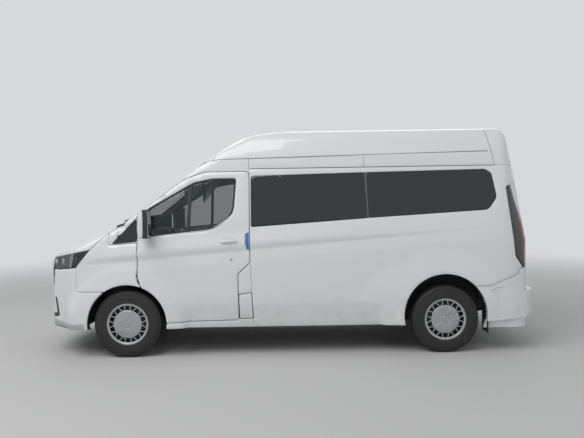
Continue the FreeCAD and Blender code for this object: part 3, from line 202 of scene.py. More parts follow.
def plan_line(rear):
    """Half plan from the nose's tip to the tail's, as half-width against length."""
    ahead = [(FRONT / MM + x, HALF / MM + y, r) for x, y, r in PLAN_FRONT]
    behind = [(REAR / MM + x, HALF / MM + y, r) for x, y, r in rear]
    nose_x, nose_y = ahead[0][0] * MM, ahead[0][1] * MM
    tail_x, tail_y = behind[-1][0] * MM, behind[-1][1] * MM
    steps = np.linspace(0, 1, 12)
    nose = [(nose_x - NOSE_BOW * (1 - t * t), nose_y * t) for t in steps[:-2]]
    tail = [(tail_x + TAIL_BOW * (1 - t * t), tail_y * t) for t in steps[-3::-1]]
    first = [(nose[-1][0] / MM, nose[-1][1] / MM, 0)]
    last = [(tail[0][0] / MM, tail[0][1] / MM, 0)]
    line = rounded(first + ahead + behind + last)
    line = np.vstack([nose, line, tail])
    ends = np.array([(line[0, 0] - 0.004, -4), (line[-1, 0] + 0.004, -4)])
    return np.vstack([ends[:1], line, ends[1:]])


PLAN_STEPS = 12
plan_levels = []
low_plan, top_plan = plan_line(PLAN_REAR), plan_line(PLAN_REAR_TOP)
for share in np.linspace(0, 1, PLAN_STEPS + 1):
    mixed = low_plan * (1 - share) + top_plan * share
    plan_levels.append(Profile(mixed[:, ::-1], low=-HIGH_END))
plan_values = np.array([level.value for level in plan_levels])
plan_slopes = np.array([level.slope for level in plan_levels])


def plan_inside(x, y, z):
    share = np.clip((z - PLAN_BREAK) / (PLAN_TOP - PLAN_BREAK), 0, 1) * PLAN_STEPS
    level = np.minimum(share.astype(int), PLAN_STEPS - 1)
    part = share - level
    column = np.clip((x + HIGH_END) / GRID, 0, plan_values.shape[1] - 2)
    first = column.astype(int)
    rest = column - first

    def read(table):
        lower = table[level, first] * (1 - rest) + table[level, first + 1] * rest
        upper = table[level + 1, first] * (1 - rest) + table[level + 1, first + 1] * rest
        return lower * (1 - part) + upper * part

    return (read(plan_values) - y) / np.sqrt(1 + read(plan_slopes) ** 2)


# %% [markdown]
# ## Flares, creases and steps
# Over the wheels the sheet swells outwards in a wide soft ring. On the high roof two level lines
# step the surface by a few millimetres. They are small next to the body, but they catch the light
# and tell the eye which vehicle this is, so they belong to the form and not to the paint.

# %% Depth below the skin
REAR_ARCH_Z = WHEEL_Z + 0.044
# Half-width of the swell and distance from its centre
FRONT_SWELL = [(1000, 300, 0), (1001, 436, 30), (975, 585, 90), (860, 680, 0), (0, 900, 0)]
REAR_SWELL = [(1000, 300, 0), (1001, 454, 30), (975, 640, 90), (860, 740, 0), (0, 960, 0)]
FLARES = (
    (FRONT, WHEEL_Z, Profile(rounded(FRONT_SWELL), 0, 4)),
    (REAR, REAR_ARCH_Z, Profile(rounded(REAR_SWELL), 0, 4)),
)
FLARE_REACH = 0.8
FLARE_TOP = 1.15
ROOF_STEP_AT = 2.062
ROOF_STEP_RISE = 0.0172
ROOF_STEP = 0.007
ROOF_STEP_WIDTH = 0.012
ROOF_STEP_START = (-0.95, -0.60)
ROOF_STEP_END = (2.1, 2.2)
ROOF_STEP_SIDE = (0.50, 0.65)
# Widths over which two forms blend
CREASE_BLEND = 0.006
FORM_BLEND = 0.03
FLARE_BLEND = 0.035
NOSE_REACH = 2.0
BROW_FADE = 4


def depth(p):
    """Metres below the skin, negative outside, for an array of points."""
    x, z = p[:, 0], p[:, 2]
    y = np.abs(p[:, 1])
    section = section_form.inside(z, y)
    crease = crease_form.inside(z - CREASE_RISE * x, y)
    result = soft_min(section, crease, CREASE_BLEND)
    from_axis = np.hypot(x - (FRONT + NOSE_AXIS), y)
    nose = np.where(x > FRONT + NOSE_REACH, 1.0, nose_form.inside(z, from_axis))
    brow = brow_form.inside(z - BROW_RISE * (x - BROW_X), y) + BROW_FADE * np.maximum(0, x - BROW_END)
    for form in (plan_inside(x, y, z), tail_form.inside(z, x), nose, brow):
        result = soft_min(result, form, FORM_BLEND)
    step = smooth(z - ROOF_STEP_AT - ROOF_STEP_RISE * x, 0, ROOF_STEP_WIDTH)
    step = step * smooth(x, *ROOF_STEP_START) * (1 - smooth(x, *ROOF_STEP_END))
    result = result - ROOF_STEP * step * smooth(y, *ROOF_STEP_SIDE)
    for wheel_x, wheel_z, form in FLARES:
        around = np.hypot(x - wheel_x, z - wheel_z)
        swell = form.inside(around, y)
        blended = -soft_min(-swell, -result, FLARE_BLEND)
        near = (around < FLARE_REACH) & (z < FLARE_TOP)
        result = np.where(near, blended, result)
    return result


SLOPE_STEP = 0.002


def inwards(p):
    """Unit vectors that point straight into the body."""
    normal = np.array([depth(p + step) - depth(p - step) for step in np.eye(3) * SLOPE_STEP]).T
    return normal / np.maximum(np.linalg.norm(normal, axis=1), 1e-9)[:, None]


print("roof middle is at depth", np.round(depth(np.array([[0.5, 0.0, ROOF]])), 4))

# %% [markdown]
# ## Charts
# To cut a panel like cloth it has to lie flat first. A chart gives a flat place (u, v) to each
# point of the skin: a ray leaves a line inside the body at (u, v), and where it comes out is the
# point. The sides use straight rays, and the nose and the roof use rays that fan out.

# %% Charts from flat to skin
FAN = 0.9
NOSE_LINE_X = -1.75
TAIL_LINE_X = 1.85
ROOF_LINE_Z = 1.45
ROOF_LINE_BEND = (-1.0, 0.5)
SCREEN_PLANE_X = -0.2
BONNET_HEART = np.array([-1.90, 0.0, 0.60])
BONNET_UP = np.array([-0.35, 0.0, 0.9367])
BONNET_AHEAD = np.array([-0.9367, 0.0, -0.35])


def roof_line(x):
    bend_x, slope = ROOF_LINE_BEND
    return ROOF_LINE_Z + np.minimum(0, x - bend_x) * slope


def side_rays(sign):
    def rays(u, v):
        zero = np.zeros_like(u)
        return np.stack([u, zero, v], 1), np.stack([zero, zero + sign, zero], 1)

    return rays


def roof_rays(u, v):
    zero = np.zeros_like(u)
    return np.stack([u, zero, roof_line(u)], 1), np.stack([zero, np.sin(v / FAN), np.cos(v / FAN)], 1)


def nose_rays(u, v):
    zero = np.zeros_like(u)
    return np.stack([zero + NOSE_LINE_X, zero, v], 1), np.stack([-np.cos(u / FAN), np.sin(u / FAN), zero], 1)


def tail_rays(u, v):
    zero = np.zeros_like(u)
    return np.stack([zero + TAIL_LINE_X, zero, v], 1), np.stack([np.cos(u / FAN), np.sin(u / FAN), zero], 1)


def screen_rays(u, v):
    zero = np.zeros_like(u)
    return np.stack([zero + SCREEN_PLANE_X, u, v], 1), np.stack([zero - 1, zero, zero], 1)


def bonnet_rays(u, v):
    """A dome of rays from one point inside: u runs forwards, v to the right."""
    away = np.maximum(np.hypot(u, v), 1e-9)
    bend = np.sin(away / FAN) / away
    aim = np.cos(away / FAN)[:, None] * BONNET_UP + (u * bend)[:, None] * BONNET_AHEAD
    aim[:, 1] += v * bend
    return np.zeros_like(aim) + BONNET_HEART, aim


CHARTS = {
    "left": side_rays(-1), "right": side_rays(1), "roof": roof_rays, "nose": nose_rays, "tail": tail_rays,
    "screen": screen_rays, "bonnet": bonnet_rays,
}
FAR = 3.4
HALVINGS = 19


def lift(chart, uv, below=0.0):
    """Points on the skin, or a depth below it, and whether each ray starts inside."""
    origin, aim = CHARTS[chart](uv[:, 0], uv[:, 1])
    near = np.zeros(len(uv))
    far = near + FAR
    found = depth(origin) > below
    for _ in range(HALVINGS):
        half = (near + far) / 2
        within = depth(origin + aim * half[:, None]) > below
        near = np.where(within, half, near)
        far = np.where(within, far, half)
    return origin + aim * near[:, None], found


# %% [markdown]
# ## Regions
# A region says how far a point is from a panel's edge, below zero inside. Regions add up as
# shapes do: a door without its window is the larger of "inside the door" and "outside the glass".

# %% Signed distance to an outline
VIEWS = {"side": (0, 2), "front": (1, 2), "top": (0, 1)}


def outline(points, view="side", grow=0.0):
    loop = rounded(points, closed=True)
    start, end = loop, np.roll(loop, -1, axis=0)
    edge = end - start
    length = np.maximum((edge**2).sum(1), 1e-12)

    def region(p):
        q = p[:, VIEWS[view]]
        best = np.full(len(q), 1e9)
        crossings = np.zeros(len(q), int)
        for a, b, e, size in zip(start, end, edge, length):
            t = np.clip(((q - a) @ e) / size, 0, 1)
            best = np.minimum(best, ((q - a - t[:, None] * e) ** 2).sum(1))
            between = (a[1] > q[:, 1]) != (b[1] > q[:, 1])
            if e[1]:
                crossings += between & (q[:, 0] < a[0] + (q[:, 1] - a[1]) * e[0] / e[1])
        return np.sqrt(best) * np.where(crossings % 2, -1, 1) - grow

    return region


def circle(x, z, radius):
    return lambda p: np.hypot(p[:, 0] - x, p[:, 2] - z) - radius


def half(sign):
    return lambda p: -sign * p[:, 1]


def beyond(axis, limit, sign=1):
    """Points whose coordinate is past a limit."""
    return lambda p: sign * (limit - p[:, axis])


def common(*regions):
    return lambda p: np.max([region(p) for region in regions], axis=0)


def union(*regions):
    return lambda p: np.min([region(p) for region in regions], axis=0)


def less(first, *others):
    return lambda p: np.max([first(p)] + [-other(p) for other in others], axis=0)


# %% [markdown]
# ## Finding a region's edge
# The region is tried on a flat grid. Where it changes sign between two grid points, the edge
# crosses there. Joining the crossings cell by cell gives closed loops, outer edges and holes alike.

# %% Loops round a region
OUTSIDE = 0.02
NEVER_ZERO = 1e-7
FEWEST = 8


def loops_of(chart, region, window, cell):
    u0, u1, v0, v1 = window
    us = np.arange(u0, u1 + cell, cell)
    vs = np.arange(v0, v1 + cell, cell)
    grid = np.stack(np.meshgrid(us, vs, indexing="ij"), -1).reshape(-1, 2)
    points, found = lift(chart, grid)
    value = np.where(found, region(points), OUTSIDE)
    value = np.where(np.abs(value) < NEVER_ZERO, NEVER_ZERO, value).reshape(len(us), len(vs))
    value[0, :] = value[-1, :] = value[:, 0] = value[:, -1] = OUTSIDE
    crossing = {}

    def point_on(a, b):
        key = (a, b) if a < b else (b, a)
        if key not in crossing:
            (i, j), (k, m) = key
            t = value[i, j] / (value[i, j] - value[k, m])
            crossing[key] = (us[i] + (us[k] - us[i]) * t, vs[j] + (vs[m] - vs[j]) * t)
        return key

    inside = value < 0
    mixed = inside[:-1, :-1].astype(int) + inside[1:, :-1] + inside[1:, 1:] + inside[:-1, 1:]
    links = {}
    for i, j in np.argwhere((mixed > 0) & (mixed < 4)):
        corners = [(i, j), (i + 1, j), (i + 1, j + 1), (i, j + 1)]
        corners = [(int(a), int(b)) for a, b in corners]
        keys = []
        for a, b in zip(corners, corners[1:] + corners[:1]):
            if inside[a] != inside[b]:
                keys.append(point_on(a, b))
        for a, b in zip(keys[::2], keys[1::2]):
            links.setdefault(a, []).append(b)
            links.setdefault(b, []).append(a)
    loops = []
    while links:
        start = next(iter(links))
        here, path = start, []
        while here in links:
            path.append(crossing[here])
            ahead = [key for key in links.pop(here) if key in links]
            here = ahead[0] if ahead else None
        if len(path) > FEWEST:
            loops.append(np.array(path))
    return loops, (us, vs, value)


def spaced(loop, step):
    """A closed loop with even steps along it."""
    closed = np.vstack([loop, loop[:1]])
    along = np.concatenate([[0], np.cumsum(np.linalg.norm(np.diff(closed, axis=0), axis=1))])
    count = max(FEWEST, int(round(along[-1] / step)))
    at = np.linspace(0, along[-1], count, endpoint=False)
    return np.stack([np.interp(at, along, closed[:, 0]), np.interp(at, along, closed[:, 1])], 1)


def inset(loop, distance):
    """The loop moved to its left by a distance."""
    ahead = np.roll(loop, -1, axis=0) - loop
    back = loop - np.roll(loop, 1, axis=0)
    ahead /= np.maximum(np.linalg.norm(ahead, axis=1), 1e-9)[:, None]
    back /= np.maximum(np.linalg.norm(back, axis=1), 1e-9)[:, None]
    mean = ahead + back
    size = np.maximum(np.linalg.norm(mean, axis=1), 0.8)
    left = np.stack([-mean[:, 1], mean[:, 0]], 1) / size[:, None]
    return loop + left * (distance * 2 / size)[:, None]


# %% [markdown]
# ## Keeping a piece
# Each finished piece is a plain mesh at the origin that rides on one body of the frame, may stand
# for CAD nodes and has its materials.

# %% Make an object from points and faces
def mesh_of(name, points, faces):
    mesh = bpy.data.meshes.new(name)
    mesh.from_pydata([tuple(p) for p in points], [], [tuple(int(i) for i in f) for f in faces])
    return mesh


def piece(name, points, faces, body, finishes, replaces=(), crease=35):
    mesh = mesh_of(name, points, faces)
    mesh.validate()
    return keep(name, mesh, body, finishes, replaces, crease)


def keep(name, mesh, body, finishes, replaces=(), crease=35, face_finish=None):
    obj = bpy.data.objects.new(name, mesh)
    bpy.context.scene.collection.objects.link(obj)
    mesh.name = name
    mesh.polygons.foreach_set("use_smooth", np.ones(len(mesh.polygons), bool))
    mesh.set_sharp_from_angle(angle=math.radians(crease))
    for finish in finishes if isinstance(finishes, (list, tuple)) else [finishes]:
        if finish not in list(mesh.materials):
            mesh.materials.append(finish)
    if face_finish is not None:
        mesh.polygons.foreach_set("material_index", np.asarray(face_finish, np.int32))
    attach(obj, body)
    if replaces:
        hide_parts(*replaces)
    return obj


# %% [markdown]
# ## A panel with rolled edges
# Real panels are thin sheet whose edges turn inwards, and the eye reads this small radius more
# than the gap itself. The edge gets three rows of points on a small arc and then turns in. The
# field inside is filled with an even grid of triangles, and the back is the front moved inwards.

# %% Fill a flat outline
CHUNK = 2000
WELL_INSIDE = 0.3
KEPT_OFF_BORDER = 0.55
KEPT_OFF_ROW = 0.30
ROW_OFF_BORDER = 0.005
ROW_INSIDE = -0.006


def distance_to(points, others):
    """Distance from each flat point to the nearest of the others."""
    best = np.empty(len(points))
    for start in range(0, len(points), CHUNK):
        part = points[start: start + CHUNK]
        best[start: start + CHUNK] = np.sqrt(((part[:, None] - others[None]) ** 2).sum(2).min(1))
    return best


def seeds_inside(chart, region, grid, border, step, cell, rows):
    """Points for the field: an even grid that gives way to the border and to the rows."""
    us, vs, value = grid
    every = max(1, int(round(step / cell)))
    ui, vi = np.meshgrid(np.arange(0, len(us), every), np.arange(0, len(vs), every), indexing="ij")
    inside = value[ui, vi] < -WELL_INSIDE * step
    kept = np.stack([us[ui[inside]], vs[vi[inside]]], 1)
    kept = kept[distance_to(kept, border) > KEPT_OFF_BORDER * step]
    u = us[:: max(1, every // 2)]
    for row in rows:
        line = np.stack([u, row(u)], 1)
        spot, found = lift(chart, line)
        line = line[found & (region(spot) < ROW_INSIDE)]
        line = line[distance_to(line, border) > ROW_OFF_BORDER]
        if len(line):
            kept = kept[distance_to(kept, line) >= KEPT_OFF_ROW * step]
            kept = np.vstack([kept, line])
    return kept


def fill(loops, seeds):
    """Triangles between closed loops, with more points inside, and where each loop point went."""
    verts, edges = [], []
    for loop in loops:
        first = len(verts)
        verts += [Vector(p) for p in loop]
        edges += [(first + i, first + (i + 1) % len(loop)) for i in range(len(loop))]
    fixed = len(verts)
    verts += [Vector(p) for p in seeds]
    points, _, faces, sources, _, _ = delaunay_2d_cdt(verts, edges, [], 0, 1e-7)
    points = np.array(points)
    faces = np.array(faces)
    went = np.full(fixed, -1)
    for i, source in enumerate(sources):
        if source and source[0] < fixed:
            went[source[0]] = i
    for i in np.where(went < 0)[0]:
        went[i] = ((points - np.array(verts[i])) ** 2).sum(1).argmin()
    centres = points[faces].mean(1)
    crossings = np.zeros(len(centres), int)
    for loop in loops:
        for a, b in zip(loop, np.roll(loop, -1, axis=0)):
            if a[1] != b[1]:
                between = (a[1] > centres[:, 1]) != (b[1] > centres[:, 1])
                slope = (b[0] - a[0]) / (b[1] - a[1])
                crossings += between & (centres[:, 0] < a[0] + (centres[:, 1] - a[1]) * slope)
    return points, faces[crossings % 2 == 1], went


# %% Cut, lift and thicken a panel
ROLL = 0.0035
ROLL_ROWS = ((0.0, 1.0), (0.0012, 0.34), (0.0036, 0.0))
PROBE = 0.002
PROBES = 40
SAMPLES = 200


def left_handed(loop, chart, region):
    """The loop turned so that the region lies on its left."""
    spot, _ = lift(chart, inset(loop, PROBE)[:PROBES])
    return loop if np.median(region(spot)) < 0 else loop[::-1]


def facing_in(points, faces):
    """Whether most of these faces look into the body."""
    corner = points[faces]
    normal = np.cross(corner[:, 1] - corner[:, 0], corner[:, 2] - corner[:, 0])
    return (normal * inwards(corner[:, 0])).sum() > 0


def panel(name, chart, region, window, body, finish, replaces=(), below=0.0, thick=0.011, step=0.03,
          cell=0.011, roll=ROLL, rows=(), bump=None):
    """rows are lines v(u) along which the mesh is finer; bump moves points outwards."""

    def on_skin(uv, deeper=0.0):
        spot, _ = lift(chart, uv, below + deeper)
        return spot if bump is None else spot - inwards(spot) * bump(spot)[:, None]

    loops, grid = loops_of(chart, region, window, cell)
    if not loops:
        raise RuntimeError(f"{name} has no region in its window")
    loops = [left_handed(spaced(loop, cell), chart, region) for loop in loops]
    inner = [inset(loop, ROLL_ROWS[-1][0] * roll / ROLL) for loop in loops]
    seeds = seeds_inside(chart, region, grid, np.vstack(inner), step, cell, rows)
    flat, faces, went = fill(inner, seeds)
    count = len(flat)
    front = on_skin(flat)
    points = [front, front + inwards(front) * thick]
    sheets = [faces, faces[:, ::-1] + count]
    rims = []
    base = 2 * count
    first = 0
    for loop in loops:
        n = len(loop)
        own = went[first: first + n]
        first += n
        rim = [on_skin(inset(loop, share * roll / ROLL), drop * roll) for share, drop in ROLL_ROWS[:-1]]
        points += rim + [rim[0] + inwards(rim[0]) * (thick - roll)]
        outer = base + np.arange(n)
        middle_row, back = outer + n, outer + 2 * n
        base += 3 * n
        after = np.roll(np.arange(n), -1)
        rows_across = (own, middle_row, outer, back, own + count)
        rims += [np.stack([a, b, b[after], a[after]], 1) for a, b in zip(rows_across, rows_across[1:])]
    points = np.vstack(points)
    sides = []
    for group, sample in ((sheets, faces[:: max(1, len(faces) // SAMPLES)]), (rims, rims[0])):
        turn = -1 if facing_in(points, sample) else 1
        sides += [list(face) for quads in group for face in quads[:, ::turn]]
    print(name, len(sides), "faces")
    return piece(name, points, sides, body, finish, replaces, crease=50)


# %% [markdown]
# ## Shader maths in plain Python
# A finish is easier to read as an expression than as a web of nodes. This class wraps a socket, and
# the usual operators add the Math nodes. Everything else comes from one method.

# %% The socket class
class Socket:
    def __init__(self, tree, socket):
        self.tree = tree
        self.socket = socket

    def node(self, kind, settings=None, output=0, **inputs):
        made = self.tree.nodes.new(kind)
        for key, value in (settings or {}).items():
            setattr(made, key, value)
        for key, value in inputs.items():
            numbered = key[0] == "i" and key[1:].isdigit()
            target = made.inputs[int(key[1:]) if numbered else key.replace("_", " ")]
            if isinstance(value, Socket):
                self.tree.links.new(value.socket, target)
            else:
                target.default_value = value
        return Socket(self.tree, made.outputs[output])

    def maths(self, operation, other=None, third=None):
        inputs = {"i0": self}
        if other is not None:
            inputs["i1"] = other
        if third is not None:
            inputs["i2"] = third
        return self.node("ShaderNodeMath", {"operation": operation}, **inputs)

    def __add__(self, other):
        return self.maths("ADD", other)

    def __sub__(self, other):
        return self.maths("SUBTRACT", other)

    def __mul__(self, other):
        return self.maths("MULTIPLY", other)

    def __rsub__(self, other):
        return self.maths("MULTIPLY_ADD", -1.0, other)

    __radd__ = __add__
    __rmul__ = __mul__

    def between(self, low, high):
        """0 below low, 1 above high, soft in between."""
        return self.node("ShaderNodeMapRange", {"interpolation_type": "SMOOTHSTEP"}, i0=self, i1=low, i2=high)

    def tint(self, first, second):
        """first where this is 0, second where it is 1."""
        as_colour = [value if isinstance(value, Socket) else (*value, 1) for value in (first, second)]
        return self.node("ShaderNodeMix", {"data_type": "RGBA"}, 2, i0=self, i6=as_colour[0], i7=as_colour[1])


class Finish:
    """A material with one Principled shader."""

    def __init__(self, name, colour, roughness=0.5, **sockets):
        self.material = bpy.data.materials.new(name)
        self.material.use_nodes = True
        self.tree = self.material.node_tree
        self.shader = self.tree.nodes["Principled BSDF"]
        self.start = Socket(self.tree, None)
        self.place = self.start.node("ShaderNodeTexCoord", output=3)
        self.set(Base_Color=colour, Roughness=roughness, **sockets)

    def set(self, **sockets):
        for key, value in sockets.items():
            target = self.shader.inputs[key.replace("_", " ")]
            if isinstance(value, Socket):
                self.tree.links.new(value.socket, target)
            elif isinstance(value, tuple) and len(value) == 3:
                target.default_value = (*value, 1)
            else:
                target.default_value = value

    def noise(self, scale, detail=3.0, roughness=0.5):
        kind = "ShaderNodeTexNoise"
        return self.start.node(kind, Vector=self.place, Scale=scale, Detail=detail, Roughness=roughness)

    def cells(self, scale):
        return self.start.node("ShaderNodeTexVoronoi", Vector=self.place, Scale=scale)

    def xyz(self):
        """The three coordinates of the place."""
        parts = self.tree.nodes.new("ShaderNodeSeparateXYZ")
        self.tree.links.new(self.place.socket, parts.inputs[0])
        return [Socket(self.tree, end) for end in parts.outputs]

    def bump(self, height, strength, distance):
        made = self.start.node("ShaderNodeBump", Strength=strength, Distance=distance, Height=height)
        self.set(Normal=made)


# %% [markdown]
# ## White paint
# The real paint is a plain glossy white under clear lacquer, with a faint orange-peel texture and
# a little road dust low down. Dust is colour and roughness that grow towards the sill, broken up
# by noise. The lacquer is the shader's coat.

# %% Paint
WHITE = (0.80, 0.81, 0.82)
DUST = (0.50, 0.47, 0.42)


def paint_finish(name, dust=1.0):
    finish = Finish(name, WHITE, 0.32, Coat_Weight=1.0, Coat_Roughness=0.035, IOR=1.45)
    low = 1 - finish.xyz()[2].between(0.25, 0.75)
    grain = finish.noise(9.0, 6.0, 0.65)
    fine = finish.noise(160.0, 3.0)
    amount = low * grain.between(0.35, 0.75) * (0.3 * dust) + fine.between(0.55, 0.8) * low * (0.12 * dust)
    finish.set(Base_Color=amount.tint(WHITE, DUST))
    finish.set(Roughness=amount * 0.5 + 0.3)
    finish.bump(finish.noise(420.0, 1.0), 0.02, 0.0004)
    return finish.material


PAINT = paint_finish("body_paint")
PAINT_CLEAN = paint_finish("roof_paint", 0.0)

# %% [markdown]
# ## Plastic, rubber and glass
# Unpainted trim has a leather-like grain, rubber is duller, and the panes differ only in tint.

# %% Trim, rubber and glass
def grained(name, colour, roughness, scale=900.0, strength=0.25):
    finish = Finish(name, colour, roughness)
    grain = finish.cells(scale)
    shade = finish.noise(5.0, 4.0)
    finish.set(Base_Color=shade.tint(colour, tuple(min(1, c * 1.5 + 0.01) for c in colour)))
    finish.set(Roughness=shade * 0.16 + (roughness - 0.06))
    finish.bump(grain, strength, 0.0004)
    return finish.material


BLACK_TRIM = grained("black_trim", (0.018, 0.018, 0.02), 0.45)
# Grey for the bumper's foot: painted shade, the white lip tucked under coloured as it looks in shade
FOOT_SHADE_GREY = grained("foot_painted_shade", (0.36, 0.37, 0.385), 0.5)
RUBBER = grained("seal_rubber", (0.012, 0.012, 0.012), 0.6, 300.0, 0.1)
INNER_TRIM = grained("cabin_trim", (0.30, 0.31, 0.32), 0.7)
DARK_CABIN = grained("dark_cabin_plastic", (0.045, 0.047, 0.052), 0.55)
UNDERBODY = grained("underseal", (0.03, 0.03, 0.032), 0.75, 120.0, 0.5)


GLASS_ROUGHNESS = 0.02


def glass_finish(name, colour, alpha):
    finish = Finish(name, colour, GLASS_ROUGHNESS, Alpha=alpha, Specular_IOR_Level=0.8)
    finish.set(Roughness=finish.noise(3.0) * 0.03 + GLASS_ROUGHNESS)
    return finish.material


CLEAR_GLASS = glass_finish("clear_glass", (0.03, 0.045, 0.05), 0.32)
DARK_GLASS = glass_finish("privacy_glass", (0.005, 0.006, 0.010), 0.95)

# %% [markdown]
# ## Outlines of the panels
# These are the CAD's own outlines in side view, as corners and radii, so that skins and solids
# share their gaps.

# %% Outlines
LEFT_DOOR = [
    (-1400, 362, 20), (-1512, 735, 20), (-1548, 830, 40), (-1551, 1100, 0), (-1551, 1490, 60),
    (-1080, 1838, 400), (-860, 1917, 300), (-393, 1917, 40), (-391, 972, 30), (-518, 861, 60), (-515, 376, 30),
]
RIGHT_DOOR = LEFT_DOOR[:8] + [(-393, 380, 30)]
DOOR_GLASS = [
    (-1505, 1244, 20), (-1505, 1508, 30), (-975, 1812, 300), (-778, 1852, 300), (-522, 1852, 30),
    (-553, 1470, 200), (-765, 1312, 300),
]
QUARTER = [(-1822, 1185, 8), (-1562, 1207, 12), (-1562, 1450, 12)]
FIRST_WINDOW = [(-372, 1338, 20), (-372, 1871, 20), (816, 1891, 20), (837, 1412, 20)]
SECOND_WINDOW = [
    (851, 1414, 20), (840, 1891, 20), (2085, 1906, 50), (2150, 1862, 40), (2192, 1607, 90), (2096, 1480, 90),
]
SLIDING_DOOR = [(-379, 380, 40), (-379, 1930, 40), (826, 1930, 40), (844, 1400, 0), (844, 392, 40)]
FUEL_FLAP = [(-503, 391, 14), (-505, 640, 14), (-378, 658, 14), (-367, 391, 14)]
TAILGATE = [
    (838, 640, 50), (838, 1310, 200), (722, 2052, 60), (-722, 2052, 60), (-838, 1310, 200), (-838, 640, 50),
]
TAILGATE_GLASS = [(735, 1290, 60), (650, 1880, 80), (-650, 1880, 80), (-735, 1290, 60)]
BONNET = [
    (-1700, 1420, 0), (-1846, 1310, 60), (-1921, 1248, 60), (-2052, 1130, 40), (-2488, 1043, 60),
    (-2720, 1043, 0), (-2720, 1600, 0), (-1700, 1600, 0),
]
BUMPER = [
    (-1600, 150, 0), (-1600, 691, 0), (-2207, 691, 0), (-2207, 941, 0), (-2446, 907, 30), (-2760, 907, 0),
    (-2760, 150, 0),
]
HEADLAMP = [
    (-2052, 1126, 0), (-2484, 1039, 30), (-2760, 1039, 0), (-2760, 911, 0), (-2446, 911, 30), (-2207, 945, 20),
]
TAIL_LAMP = [
    (2297, 1717, 20), (2440, 1778, 40), (2700, 1790, 0), (2700, 868, 0), (2470, 868, 0), (2380, 991, 40),
]
REAR_BUMPER = [
    (1900, 250, 0), (1900, 690, 0), (2093, 694, 40), (2400, 800, 120), (2440, 864, 0), (2760, 864, 0),
    (2760, 250, 0),
]
ROOF_ZONE = [
    (2760, 1948, 0), (-386, 1948, 0), (-386, 1500, 0), (-1558, 1195, 0), (-1850, 1178, 0), (-1850, 1392, 0),
    (-2000, 1500, 0), (-1300, 2600, 0), (2760, 2600, 0),
]
SIDE_PANEL = [
    (-1262, 300, 0), (2760, 300, 0), (2760, 1944, 0), (-386, 1944, 0), (-386, 985, 0), (-620, 850, 0),
    (-620, 420, 0), (-1262, 420, 0),
]
WING = [
    (-1300, 300, 0), (-1300, 420, 0), (-1490, 735, 0), (-1530, 830, 0), (-1530, 1190, 0), (-1852, 1172, 0),
    (-1852, 1420, 0), (-2760, 1420, 0), (-2760, 300, 0),
]
SCREEN = [(780, 1404, 60), (688, 1912, 60), (-688, 1912, 60), (-780, 1404, 60)]
LAMP_INNER = 0.545
LAMP_EDGE = 0.845
# Between two panels, along a fixed seam, round a pane, and how far a lining turns dark round a pane
GAP = 0.007
SEAM = 0.004
PANE_GAP = 0.0005
DARK_EDGE = 0.002
PANE_JOINT = [(812, 1892, 0), (843, 1892, 0), (854, 1413, 0), (834, 1411, 0)]
FLAP_GAP = 0.008
FUEL_HOLE = [(x, z, 4) for x, z, _ in FUEL_FLAP]
COWL_NEAR = 3.170
COWL_FAR = 3.232
FRONT_ARCH = circle(FRONT, WHEEL_Z, 0.412)
REAR_ARCH = circle(REAR, REAR_ARCH_Z, 0.430)


def behind_arc(radius):
    """All that lies behind an arc about the nose's axis."""
    return lambda p: np.hypot(p[:, 0] - FRONT - NOSE_AXIS, p[:, 1]) - radius


# %% [markdown]
# ## Linings from the CAD
# Behind each skin lies the thick CAD wall with its jambs, window reveals and inner face. A merged
# copy of the node serves as lining: points close to the skin are pushed a little deeper, so that
# only the new skin shows outside. Faces near the outside are painted, deeper ones are cabin trim.

# %% Merged copies of CAD nodes
LINING_DEPTH = 0.0085
LINING_PASSES = 3
PAINTED_DEPTH = 0.046
DIRTY_DEPTH = 0.020
DIRTY_REACH = 0.52
DARK_DEPTHS = (0.007, 0.160)
TUCKED = 0.15


def merged(name):
    mesh = nodes[name].data.copy()
    mesh.materials.clear()
    work = bmesh.new()
    work.from_mesh(mesh)
    bmesh.ops.remove_doubles(work, verts=work.verts, dist=2e-5)
    work.to_mesh(mesh)
    work.free()
    return mesh


def read(items, key):
    """The places of a mesh's points or faces, one row each."""
    flat = np.empty(len(items) * 3)
    items.foreach_get(key, flat)
    return flat.reshape(-1, 3)


def lining(node, body, trim, outer=PAINT, dark=None, tuck=None):
    """dark is where a pane covers the jamb; tuck lifts points that hang below a level."""
    mesh = merged(node)
    points = read(mesh.vertices, "co")
    if tuck is not None:
        points[:, 2] = np.maximum(points[:, 2], tuck + TUCKED * (points[:, 2] - tuck))
    for _ in range(LINING_PASSES):
        move = np.maximum(0, LINING_DEPTH - depth(points))
        points = points + inwards(points) * move[:, None]
    mesh.vertices.foreach_set("co", points.ravel())
    mesh.update()
    centre = read(mesh.polygons, "center")
    below = depth(centre)
    finish = (below > PAINTED_DEPTH).astype(int)
    to_wheel = [np.hypot(centre[:, 0] - x, centre[:, 2] - WHEEL_Z) for x in (FRONT, REAR)]
    near_road = (np.minimum(*to_wheel) < DIRTY_REACH) | (centre[:, 2] < DIRTY_REACH)
    finish[(below > DIRTY_DEPTH) & near_road] = 2
    if dark is not None:
        finish[(below > DARK_DEPTHS[0]) & (below < DARK_DEPTHS[1]) & (dark(centre) < 0)] = 3
    return keep(f"{node}_lining", mesh, body, [outer, trim, UNDERBODY, RUBBER], [node], 30, finish)


# %% [markdown]
# ## Doors and sides
# The side panels and doors are cut in side view. Along the shoulder crease the mesh needs close
# rows of points, or the crease would turn into a saw edge.

# %% Rows along the shoulder
def shoulder(offset):
    return lambda u: offset + CREASE_RISE * u


